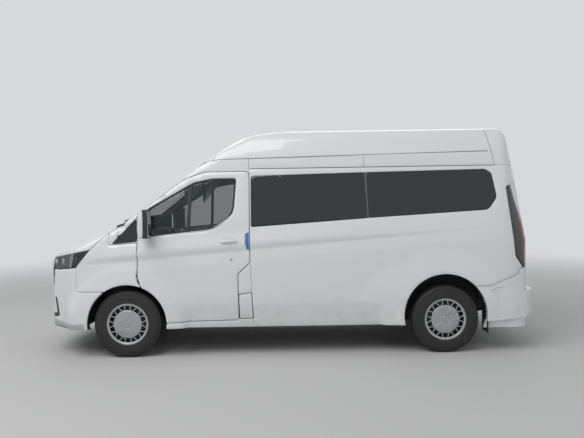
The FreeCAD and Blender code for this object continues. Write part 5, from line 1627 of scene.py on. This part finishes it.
for side, sign in SIDES:
    box = (*to_side(sign, 0.45, 1.28), 0.88, 1.16)
    this_side = half(sign)
    panel(f"{side}_headlamp_lens", "nose", common(lamp_region, this_side), box, "body", LENS,
          ["headlamp_lenses"], below=0.0005, thick=0.003, roll=0.0015, step=0.025, cell=0.008)
    panel(f"{side}_lamp_bracket", "nose", common(outline(BRACKET), lamp_region, this_side), box, "body",
          SILVER, step=0.02, cell=0.006, **IN_LAMP)
    for number, place in enumerate(EYES):
        centre = lift(side, np.array([place]))[0][0]
        for part, outer, inner, finish in EYE_PARTS:
            band = common(ring(centre, outer * EYE_RADIUS, inner * EYE_RADIUS), this_side)
            panel(f"{side}_lamp_{part}_{number}", "nose", band, box, "body", finish, step=0.012, cell=0.004,
                  **IN_LAMP)
    skin_x = lift("screen", np.array([[sign * BOWL_Y, BOWL_Z]]))[0][0][0]
    bowl = lathe(BOWL_FORM, "x", 40, (skin_x + 0.004, sign * BOWL_Y, BOWL_Z))
    bulb = lathe(BULB_FORM, "x", 20, (skin_x + 0.024, sign * BOWL_Y, BOWL_Z))
    piece(f"{side}_lamp_bowls", *joined(bowl, bulb), "body", CHROME)

# %% Tail lamps
tail_region = common(outline(TAIL_LAMP), lambda p: LAMP_EDGE - np.abs(p[:, 1]))
for side, sign in SIDES:
    box = (*to_side(sign, 0.70, 1.15), 0.85, 1.80)
    panel(f"{side}_tail_lens", "tail", common(tail_region, half(sign)), box, "body", TAIL_LENS,
          ["tail_lamps"], thick=0.008, roll=0.004, step=0.025, cell=0.008)

# %% [markdown]
# ## Grille, bumpers and plates
# The grille is the CAD's own, in grained black, with thin bright strips between its slots. Below
# it the bumper carries a lower grille with level bars, a black slit on each side, a black lip, and
# a grey band along its foot, which is painted shade standing for the tucked-under white lip. Both number plates
# are blank.

# %% Front trim
dress(["grille", "cowl", "wipers"], BLACK_TRIM)
STRIP_LEVELS = (0.957, 0.993)
BAR_LEVELS = (0.735, 0.770, 0.805, 0.840, 0.875, 0.905)


def across_nose(z, half_width, below):
    """A level line across the nose, at a depth below the skin."""
    ys = np.linspace(-half_width, half_width, 40)
    return lift("screen", np.stack([ys, 0 * ys + z], 1), below)[0]


for i, z in enumerate(STRIP_LEVELS):
    piece(f"grille_strip_{i}", *tube(across_nose(z, 0.50, -0.001), 0.0035, 8), "body", CHROME)
# The grey band along the bumper's foot paints the shade on its tucked-under white lip
FOOT_SHADE_OUTLINE = [
    (-2760, 250, 0), (-2760, 372, 0), (-2610, 372, 30), (-2380, 352, 60), (-2120, 366, 0), (-2085, 250, 0),
]
foot_region = less(outline(FOOT_SHADE_OUTLINE), beyond(2, BUMPER_FOOT + 0.003, -1), FRONT_ARCH)
panel("bumper_foot_painted_shade", "nose", foot_region, (-1.2, 1.2, 0.29, 0.40), "body", FOOT_SHADE_GREY, below=-0.0035,
      thick=0.01, step=0.025, cell=0.008)
LOWER_GRILLE = [(-2760, 926, 0), (-2519, 926, 4), (-2543, 733, 30), (-2604, 700, 0), (-2760, 700, 0)]
panel("lower_grille", "nose", outline(LOWER_GRILLE), (-1.0, 1.0, 0.67, 0.95), "body", BLACK_TRIM,
      below=-0.0008, thick=0.006, roll=0.002, step=0.025, cell=0.008)
grille_bars = [tube(across_nose(z, 0.585, 0.0006), 0.0038, 8) for z in BAR_LEVELS]
piece("lower_grille_bars", *joined(*grille_bars), "body", GLOSS_BLACK)
LIP = [(-2760, 388, 0), (-2575, 388, 8), (-2562, 350, 8), (-2760, 350, 0)]
panel("front_lip", "nose", outline(LIP), (-1.0, 1.0, 0.33, 0.41), "body", BLACK_TRIM, below=-0.0042, thick=0.01,
      roll=0.002, step=0.025, cell=0.006)
SLIT = [
    (-2530, 612, 0), (-2500, 600, 0), (-2462, 420, 0), (-2500, 396, 0), (-2600, 386, 0), (-2600, 420, 0),
    (-2498, 440, 20),
]
slit_region = less(outline(SLIT), near_middle(0.60))
for side, sign in SIDES:
    box = (*to_side(sign, 0.35, 1.1), 0.37, 0.63)
    panel(f"{side}_bumper_slit", "nose", common(slit_region, half(sign)), box, "body", BLACK_TRIM,
          below=-0.0015, thick=0.006, roll=0.001, step=0.02, cell=0.006)
PLATE = [(-260, -56, 8), (260, -56, 8), (260, 56, 8), (-260, 56, 8)]
PLATE_PARTS = (("holder", 0.008, -0.004, 0.009, BLACK_TRIM), ("plate", 0.0, -0.0065, 0.003, BLANK_PLATE))


def plate_at(name, chart, z, body, sign):
    """A blank number plate that follows the bow of the panel behind it."""
    corners = [(y, z / MM + dz, r) for y, dz, r in PLATE]
    for part, grow, below, thick, finish in PLATE_PARTS:
        region = common(outline(corners, "front", grow), beyond(0, 2.0 * sign, sign))
        panel(f"{name}_{part}", chart, region, (-0.4, 0.4, z - 0.08, z + 0.08), body, finish, below=below,
              thick=thick, roll=0.0015, cell=0.01)


plate_at("front_plate", "nose", 0.795, "body", -1)
plate_at("rear_plate", "tail", 0.90, "rear_gate", 1)

# %% Rear bumper
# The CAD's own beam is painted; only its inner faces in the arches are dark
INNER_WALL = 0.035
ARCH_END = 2.200
FOOT_TOP = 0.340
bumper_mesh = nodes["rear_bumper"].data
dress(["rear_bumper"], paint_finish("bumper_paint", 0.8))
bumper_mesh.materials.append(UNDERBODY)
centres = read(bumper_mesh.polygons, "center")
inner = (depth(centres) > INNER_WALL) & (centres[:, 0] < ARCH_END) & (centres[:, 2] > FOOT_TOP)
bumper_mesh.polygons.foreach_set("material_index", inner.astype(np.int32) * (len(bumper_mesh.materials) - 1))

# %% Mud flaps and the bumper's creases
dress(["mud_flaps"], RUBBER)
FLAP = [(-835, 215, 10), (-965, 215, 10), (-965, 340, 0), (-835, 340, 0)]
CREASE_SUNK = 0.72
STRIPS = (
    ("high", [(2094, 772), (2200, 802), (2300, 826), (2345, 836)], 0.0045),
    ("low", [(2088, 655), (2150, 676), (2220, 686), (2280, 682), (2322, 672)], 0.0055),
)
for side, sign in SIDES:
    flap = plate(FLAP, -1.236, -1.230)
    piece(f"{side}_front_mud_flap", *flipped(flap, -sign), "body", RUBBER)
    for name, points, radius in STRIPS:
        line = curved([(x * MM, z * MM) for x, z in points], 10)
        path, _ = lift(side, line, radius * CREASE_SUNK)
        piece(f"{side}_{name}_bumper_crease", *tube(path, radius, 10), "body", PAINT)

# %% [markdown]
# ## Door furniture
# Each door has a pull handle over a dished cup, and the driver's door has its lock below. The
# window has a black frame, a bright lower strip and an upright divider.

# %% Handles, lock and edge guard
HANDLE_LENGTH = 0.166
HANDLE_BEND = 1.8
HANDLE_LEAN = -math.degrees(math.atan(CREASE_RISE / 2))
CUP_DEPTH = 0.007


def handle_at(name, side, sign, x, z, body):
    """A pull handle that stands off the skin, over its cup."""
    cup = cup_region(x, z)
    panel(f"{name}_cup", side, common(cup, half(sign)), (x - 0.08, x + 0.08, z - 0.05, z + 0.05), body, PAINT,
          thick=0.002, roll=0.001, step=0.008, cell=0.004,
          bump=lambda p: -CUP_DEPTH * (1 - smooth(cup(p) / CUP_HALF[1], -0.85, -0.05)))
    skin = lift(side, np.array([[x, z]]))[0][0]
    points, faces = soft_box((HANDLE_LENGTH / 2, 0.007, 0.0135), 0.0065, 0.02, (0, 0.002, 0))
    points[:, 1] -= HANDLE_BEND * points[:, 0] ** 2
    posts = [moved(soft_box((0.013, 0.011, 0.011), 0.005, 0.02), (at, -0.012, 0)) for at in (-0.062, 0.062)]
    whole = flipped(joined(moved((points, faces), (0, 0.004, 0)), *posts), sign)
    whole = turned_about(whole, "y", HANDLE_LEAN)
    piece(f"{name}_handle", *moved(whole, skin + (0, sign * 0.016, 0)), body, PAINT_CLEAN)


handle_at("left_door", "left", -1, *HANDLE, "left_front_door")
handle_at("right_door", "right", 1, *HANDLE, "right_front_door")
handle_at("sliding_door", "right", 1, *SLIDING_HANDLE, "body")
LOCK = (-0.582, 1.008)
lock_skin = lift("left", np.array([LOCK]))[0][0]
LOCK_FORM = [
    (0.0002, 0.0), (0.0002, 0.0065), (0.004, 0.0065), (0.0045, 0.005), (0.0105, 0.0062), (0.0125, 0.004),
    (0.0125, 0.0),
]
lock = flipped(lathe(LOCK_FORM, turns=28), -1)
piece("door_lock", *moved(lock, lock_skin + (0, 0.001, 0)), "left_front_door", SILVER)
slot_piece = moved(soft_box((0.0012, 0.0012, 0.0042), 0.0008, 0.01), lock_skin + (0, -0.0062, 0))
piece("door_lock_slot", *slot_piece, "left_front_door", GLOSS_BLACK)
EDGE_GUARD = grained("blue_edge_guard", (0.03, 0.16, 0.42), 0.5, 200.0, 0.1)
GUARD = [
    (-436, 1270, 0), (-403, 1288, 6), (-397, 1276, 0), (-397, 1110, 0), (-404, 1100, 6), (-420, 1116, 0),
    (-436, 1180, 0),
]
panel("door_edge_guard", "left", outline(GUARD), (-0.46, -0.37, 1.08, 1.31), "left_front_door", EDGE_GUARD,
      below=-0.004, thick=0.006, roll=0.002, step=0.015, cell=0.004)

# %% Window frames, divider and bright strip
FRAME_WIDTH = 0.019
glass_in = outline(DOOR_GLASS, grow=-FRAME_WIDTH)
DIVIDER = [(-1012, 1900, 0), (-976, 1900, 0), (-1010, 1250, 0), (-1046, 1250, 0)]
GLASS_FOOT = [(-1440, 1250, 0), (-1100, 1286, 300), (-780, 1318, 200), (-640, 1412, 100), (-578, 1462, 0)]
MIRROR_BASE = [(-1504, 1246, 10), (-1504, 1500, 20), (-1420, 1552, 10), (-1404, 1400, 60), (-1402, 1258, 10)]
FRAME_BOX = (-1.53, -0.50, 1.22, 1.87)
mirror_region = common(outline(MIRROR_BASE), outline(DOOR_GLASS, grow=-0.001))
WINDOW_TRIM = (
    ("frame", less(outline(DOOR_GLASS, grow=-0.0008), glass_in), RUBBER, 0.0085, 0.003, 0.0012),
    ("divider", common(outline(DIVIDER), glass_in), BLACK_TRIM, 0.0105, 0.0065, 0.001),
)
for side, sign in SIDES:
    body = f"{side}_front_door"
    for part, region, finish, below, thick, roll in WINDOW_TRIM:
        panel(f"{side}_window_{part}", side, region, FRAME_BOX, body, finish, below=below, thick=thick,
              roll=roll, step=0.02, cell=0.008)
    path, _ = lift(side, rounded(GLASS_FOOT), 0.003)
    piece(f"{side}_window_strip", *tube(path, 0.0042, 8), body, SILVER)
    panel(f"{side}_mirror_base", side, mirror_region, FRAME_BOX, body, BLACK_TRIM, below=0.004, thick=0.006,
          roll=0.002, step=0.02, cell=0.008)

# %% Pane joint and dark bands
pane_edges = [outline(corners, grow=0.0004) for corners in (FIRST_WINDOW, SECOND_WINDOW)]
joint_region = less(outline(PANE_JOINT), *pane_edges)
JOINT_GREY = grained("joint_grey", (0.085, 0.085, 0.088), 0.5, 400.0, 0.1)
panel("pane_joint", "left", joint_region, (0.78, 0.88, 1.38, 1.92), "body", JOINT_GREY, below=0.0015,
      thick=0.004, roll=0.001, step=0.02, cell=0.004)
screen_band = less(outline(SCREEN, "front", -0.0015), outline(SCREEN, "front", -0.038))
panel("windscreen_band", "screen", common(screen_band, ahead_of_cab), SCREEN_BOX, "body", GLOSS_BLACK,
      below=0.0012, thick=0.0012, roll=0.0004, step=0.04, cell=0.012)
gate_band = less(on_gate(TAILGATE_GLASS, -0.0015), outline(TAILGATE_GLASS, "front", -0.045))
panel("tailgate_glass_band", "tail", gate_band, GATE_GLASS_BOX, "rear_gate", GLOSS_BLACK, below=0.0006,
      thick=0.0014, roll=0.0004, step=0.04, cell=0.012)

# %% [markdown]
# ## Seams and seals
# Where two fixed sheets meet there is a line of dark sealer. Each is a thin round strip along a
# line on the skin, sunk so far that only its crown shows. The strip along the roof step is no
# sealer but painted shadow under the step's edge.

# %% Seams
SEAM_SUNK = 0.0008
SEAM_STEP = 0.02


def seam(name, chart, points, radius=0.0022):
    line = rounded(points, pieces=5)
    length = np.concatenate([[0], np.cumsum(np.linalg.norm(np.diff(line, axis=0), axis=1))])
    at = np.linspace(0, length[-1], max(3, int(length[-1] / SEAM_STEP)))
    even = np.stack([np.interp(at, length, line[:, 0]), np.interp(at, length, line[:, 1])], 1)
    path, _ = lift(chart, even, SEAM_SUNK)
    piece(name, *tube(path, radius, 8), "body", RUBBER)


# The dark strip along the roof step's edge is painted shadow of the step, not sealer
ROOF_STEP_SHADOW_LINE = [(-930, 1985, 0), (-820, 2035, 120), (-689, 2051, 60), (712, 2075, 0), (2122, 2099, 0)]
BAND_LINE = [(-386, 1946, 0), (829, 1946, 0), (2176, 1946, 0)]
for side, sign in SIDES:
    seam(f"{side}_roof_line", side, ROOF_STEP_SHADOW_LINE)
    seam(f"{side}_band_line", side, BAND_LINE, 0.0026)
    seam(f"{side}_cap_seam", side, [(2122, 2330, 0), (2150, 2160, 0), (2188, 1950, 0)])
    for x in (-390, 815):
        seam(f"{side}_seam_{abs(x)}", side, [(x, 1950, 0), (x - 4, 2056, 0)], 0.002)
    seam(f"{side}_front_cap_seam", side, [(-760, 2052, 0), (-757, 2140, 0)], 0.002)
seam("left_body_seam", "left", [(-381, 960, 0), (-379, 672, 0)], 0.0018)
seam("left_low_seam", "left", [(-363, 376, 0), (-362, 326, 0)], 0.0018)

# %% [markdown]
# ## Mirrors
# Seen from the side a mirror is a white shell in front and a black case behind, on a black foot.

# %% Mirrors
MIRROR_MIDDLE = (-1.432, 1.062, 1.392)
MIRROR_HALF = (0.030, 0.076, 0.147)


def mirror_shell(half, radius, lean):
    """A soft box whose front edge falls back towards its top."""
    points, faces = soft_box(half, radius, 0.03, (0.010, 0.004, 0.0))
    height = np.maximum(0, points[:, 2] / half[2] + 0.1)
    front = np.clip(0.5 - points[:, 0] / half[0] / 2, 0, 1)
    points = points + np.stack([front * height**1.5 * lean, 0 * front, 0 * front], 1)
    return points, faces


for side, sign in SIDES:
    body = f"{side}_front_door"
    shell = moved(mirror_shell((0.037, 0.076, 0.146), 0.03, 0.030), (-1.468, 1.060, 1.388))
    case = moved(soft_box(MIRROR_HALF, 0.018, 0.03), MIRROR_MIDDLE)
    glass = moved(soft_box((0.002, 0.066, 0.128), 0.0015, 0.03), (-1.4005, 1.062, 1.392))
    foot = tube(curved([(-1.440, 0.915, 1.285), (-1.440, 0.955, 1.285), (-1.438, 1.010, 1.300)], 6), 0.026, 14)
    arm = tube(curved([(-1.440, 0.920, 1.450), (-1.440, 0.955, 1.452), (-1.438, 1.010, 1.450)], 6), 0.016, 14)
    piece(f"{side}_mirror_shell", *flipped(shell, sign), body, PAINT_CLEAN, [f"{side}_mirror"])
    piece(f"{side}_mirror_case", *flipped(joined(case, foot, arm), sign), body, BLACK_TRIM)
    piece(f"{side}_mirror_glass", *flipped(glass, sign), body, MIRROR_GLASS.material)

# %% [markdown]
# ## Seats
# The seats are only seen through glass, but they are what fills the windows. Each pad is a closed
# crowned form with two sewn channels. One of each is made, and the tree sets the rows.

# %% Pads
CHANNEL = 0.006
CHANNEL_WIDTH = 0.0055
CHANNELS = (-0.095, 0.095)
BACK_LEAN = 9.6


def pad(half, radius, crown, channels, top_axis):
    """A crowned pad with sewn channels across its top face."""
    beside = [at + shift for at in channels for shift in (-0.010, -0.005, 0, 0.005, 0.010)]
    points, faces = soft_box(half, radius, 0.035, crown, ((), beside, ()))
    top = np.clip(points[:, top_axis] / half[top_axis], 0, 1) ** 4
    for at in channels:
        groove = np.exp(-(((points[:, 1] - at) / CHANNEL_WIDTH) ** 2)) * CHANNEL * top
        points[:, top_axis] -= groove
    waist = 1 - 0.02 * (1 - (points[:, 0] / half[0]) ** 2)
    points[:, 1] *= waist
    return points, faces


def seat(width, cushion_top, back_top):
    """Cushion, back and headrest of one seat whose front edge is at x = 0, centred on y = 0."""
    cushion = pad((0.232, width / 2 - 0.008, 0.055), 0.04, (0.006, 0.0, 0.014), CHANNELS, 2)
    cushion = moved(turned_about(cushion, "y", -2.5), (0.236, 0, cushion_top - 0.062))
    length = (back_top - cushion_top + 0.02) / 2
    back = pad((0.052, width / 2 - 0.012, length), 0.042, (-0.012, 0.0, 0.0), CHANNELS, 0)
    back = back[0] * (-1, 1, 1), [side[::-1] for side in back[1]]
    back = turned_about(back, "y", BACK_LEAN)
    back = moved(back, (0.490, 0, (cushion_top + back_top) / 2 - 0.012))
    rest = pad((0.046, 0.128, 0.072), 0.038, (-0.006, 0.0, 0.004), (), 2)
    rest = moved(turned_about(rest, "y", BACK_LEAN * 0.6), (0.545, 0, back_top + 0.088))
    return {"cushion": cushion, "back": back, "headrest": rest}


ROWS_X = -0.020
ROW_STEP = 0.840
SEAT_STEP = 0.455
CAB_SEAT_Y = 0.430


def set_seats(group, shapes, count, start, step, node):
    """One row of seats: each kind of pad is one piece."""
    for part, shape in shapes.items():
        mesh = repeated(shape, count, SEAT_CLOTH, start, step)
        made = keep(f"{group}_{part}s", mesh, "body", SEAT_CLOTH, [node] if part == "cushion" else (), 60)


rear_seat = seat(SEAT_STEP, 0.980, 1.460)
for row in range(3):
    start = (ROWS_X + row * ROW_STEP, -SEAT_STEP, 0.0)
    set_seats(f"row_{row + 1}", rear_seat, 3, start, (0.0, SEAT_STEP, 0.0), "rear_seats")
start = (-1.030, -CAB_SEAT_Y, 0.0)
set_seats("front", seat(0.500, 0.950, 1.480), 2, start, (0.0, 2 * CAB_SEAT_Y, 0.0), "front_seats")

# %% Seat frames
FLOOR_TOP = 0.560
PIPE = 0.014
ROD = 0.006
bars = []
for row in range(3):
    x = ROWS_X + row * ROW_STEP
    for y in (-0.560, 0.0, 0.560):
        for foot, head in ((0.06, 0.08), (0.40, 0.38)):
            bars.append(tube([(x + foot, y, FLOOR_TOP + 0.012), (x + head, y, 0.850)], PIPE, 10))
        bars.append(moved(soft_box((0.20, 0.022, 0.008), 0.005, 0.1), (x + 0.23, y, FLOOR_TOP + 0.009)))
    for along in (0.08, 0.38):
        bars.append(tube([(x + along, -0.66, 0.853), (x + along, 0.66, 0.853)], PIPE, 10))
    for y in (-SEAT_STEP, 0.0, SEAT_STEP):
        for offset in (-0.06, 0.06):
            bars.append(tube([(x + 0.535, y + offset, 1.43), (x + 0.545, y + offset, 1.50)], ROD, 8))
for y in (-CAB_SEAT_Y, CAB_SEAT_Y):
    bars.append(moved(soft_box((0.19, 0.20, 0.135), 0.02, 0.1), (-0.80, y, 0.700)))
    for offset in (-0.06, 0.06):
        bars.append(tube([(-0.495, y + offset, 1.45), (-0.485, y + offset, 1.52)], ROD, 8))
piece("seat_frames", *joined(*bars), "body", CHASSIS)

# %% [markdown]
# ## Dashboard and steering wheel
# Both keep their CAD shape. The dashboard gets a hood over the dials, air vents, a blank screen
# and a gear lever.

# %% Cab fittings
dress(["dashboard", "steering_wheel"], DARK_CABIN)
hood = moved(soft_box((0.070, 0.170, 0.026), 0.022, 0.03, (0, 0, 0.008)), (-1.395, -0.430, 1.296))
screen = moved(turned_about(soft_box((0.008, 0.115, 0.070), 0.006, 0.05), "y", -12), (-1.262, 0.0, 1.225))
lever = tube(curved([(-1.250, -0.08, 1.020), (-1.215, -0.08, 1.045), (-1.185, -0.08, 1.100)], 6), 0.009, 10)
knob = moved(soft_box((0.020, 0.020, 0.026), 0.018, 0.02), (-1.182, -0.08, 1.118))
piece("dash_hood", *joined(hood, lever, knob), "body", DARK_CABIN)
piece("dash_screen", *screen, "body", GLOSS_BLACK)
vent = moved(soft_box((0.004, 0.052, 0.0022), 0.0015, 0.05), (-1.246, 0, 1.150))
for name, y in (("left", -0.72), ("right", 0.72), ("middle", 0.22)):
    slats = repeated(vent, 6, GLOSS_BLACK, (0.0, y, 0.0), (0.0, 0.0, 0.012))
    keep(f"dash_vent_{name}", slats, "body", GLOSS_BLACK)

# %% Underside
dress(["floor"], UNDERBODY)
lining("front_structure", "body", UNDERBODY, UNDERBODY)
dress(["engine_block"], CAST)
dress(["front_suspension", "left_knuckle", "right_knuckle"], CHASSIS)
dress(["rear_axle", "leaf_springs", "prop_shaft", "spare_wheel"], CHASSIS)
dress(["exhaust"], EXHAUST)
dress(["fuel_tank"], BLACK_TRIM)

# %% High-level lamp and rear handle
HIGH_LAMP = [(-150, 1935, 10), (150, 1935, 10), (150, 1965, 10), (-150, 1965, 10)]
panel("high_level_lamp", "tail", on_gate(HIGH_LAMP), (-0.25, 0.25, 1.91, 1.99), "rear_gate", TAIL_LENS,
      below=-0.005, thick=0.012, roll=0.003, step=0.02, cell=0.008)
GRIP = [(-190, 975, 12), (190, 975, 12), (190, 1012, 12), (-190, 1012, 12)]
panel("tailgate_grip", "tail", on_gate(GRIP), (-0.3, 0.3, 0.95, 1.04), "rear_gate", BLACK_TRIM, below=-0.012,
      thick=0.02, roll=0.006, step=0.02, cell=0.008)

# %% [markdown]
# ## The studio
# A pale floor that fades out with distance and can be seen through from below, and a pale backdrop.
# A large soft key stands above and ahead, a fill towards the tail and a wide lamp behind. The camera
# stands where the photograph was taken, a good seven metres from the side.

# %% Camera, floor and light
PHOTO_WIDTH = 584
FOCAL_PIXELS = 600
SENSOR = 36.0
camera_data = bpy.data.cameras.new("camera")
camera_data.sensor_width = SENSOR
camera_data.lens = SENSOR * FOCAL_PIXELS / PHOTO_WIDTH
camera_data.clip_end = 200
camera = bpy.data.objects.new("camera", camera_data)
bpy.context.scene.collection.objects.link(camera)
PITCH = math.radians(1.718)
ROLL_ANGLE = math.radians(0.928)
camera.location = (0.0537, -7.158, 1.602)
aim = Matrix.Rotation(math.pi / 2 - PITCH, 4, "X") @ Matrix.Rotation(-ROLL_ANGLE, 4, "Z")
camera.rotation_euler = aim.to_euler()
bpy.context.scene.camera = camera

FLOOR_SOLID = 5.0
FLOOR_GONE = 13.0
floor_finish = Finish("studio_floor", (0.62, 0.62, 0.61), 0.8)
shade = floor_finish.noise(60.0, 4.0)
floor_finish.set(Base_Color=shade.tint((0.60, 0.60, 0.59), (0.66, 0.66, 0.65)))
place = floor_finish.place
away = floor_finish.start.node("ShaderNodeVectorMath", {"operation": "LENGTH"}, output=1, i0=place)
from_below = floor_finish.start.node("ShaderNodeNewGeometry", output=6)
floor_finish.set(Alpha=(1 - away.between(FLOOR_SOLID, FLOOR_GONE)) * (1 - from_below))
EXTENT = 60
corners = [(-EXTENT, -EXTENT, 0), (EXTENT, -EXTENT, 0), (EXTENT, EXTENT, 0), (-EXTENT, EXTENT, 0)]
floor_mesh = mesh_of("studio_floor", corners, [(0, 1, 2, 3)])
floor_mesh.materials.append(floor_finish.material)
floor_object = bpy.data.objects.new("studio_floor", floor_mesh)
bpy.context.scene.collection.objects.link(floor_object)


def lamp(name, place, aim, size, power):
    data = bpy.data.lights.new(name, "AREA")
    data.shape = "RECTANGLE"
    data.size, data.size_y = size
    data.energy = power
    made = bpy.data.objects.new(name, data)
    bpy.context.scene.collection.objects.link(made)
    made.location = place
    made.rotation_euler = (Vector(aim) - Vector(place)).to_track_quat("-Z", "Y").to_euler()
    return made


lamp("key", (-4.5, -5.5, 8.5), (0, 0, 0.9), (9.0, 7.0), 560)
# The fill leaves no reflection, or it would show as a pale sliver in the rear side window
fill_lamp = lamp("fill", (6.5, -6.0, 3.0), (0.5, 0, 1.0), (4.0, 4.0), 60)
fill_lamp.visible_glossy = False
lamp("back", (1.0, 7.5, 6.5), (0, 0, 1.0), (12.0, 6.0), 150)
BACKDROP_LIGHT = 0.34
BACKDROP_SHOWN = 0.75
world = bpy.data.worlds.new("studio")
bpy.context.scene.world = world
world.use_nodes = True
path_kinds = world.node_tree.nodes.new("ShaderNodeLightPath").outputs
seen = Socket(world.node_tree, path_kinds["Is Camera Ray"])
for kind in ("Is Glossy Ray", "Is Transmission Ray"):
    seen = seen.maths("MAXIMUM", Socket(world.node_tree, path_kinds[kind]))
strength = seen * (BACKDROP_SHOWN - BACKDROP_LIGHT) + BACKDROP_LIGHT
backdrop = world.node_tree.nodes["Background"]
backdrop.inputs["Color"].default_value = (0.90, 0.92, 0.94, 1)
world.node_tree.links.new(strength.socket, backdrop.inputs["Strength"])
bpy.context.scene.view_settings.view_transform = "Standard"
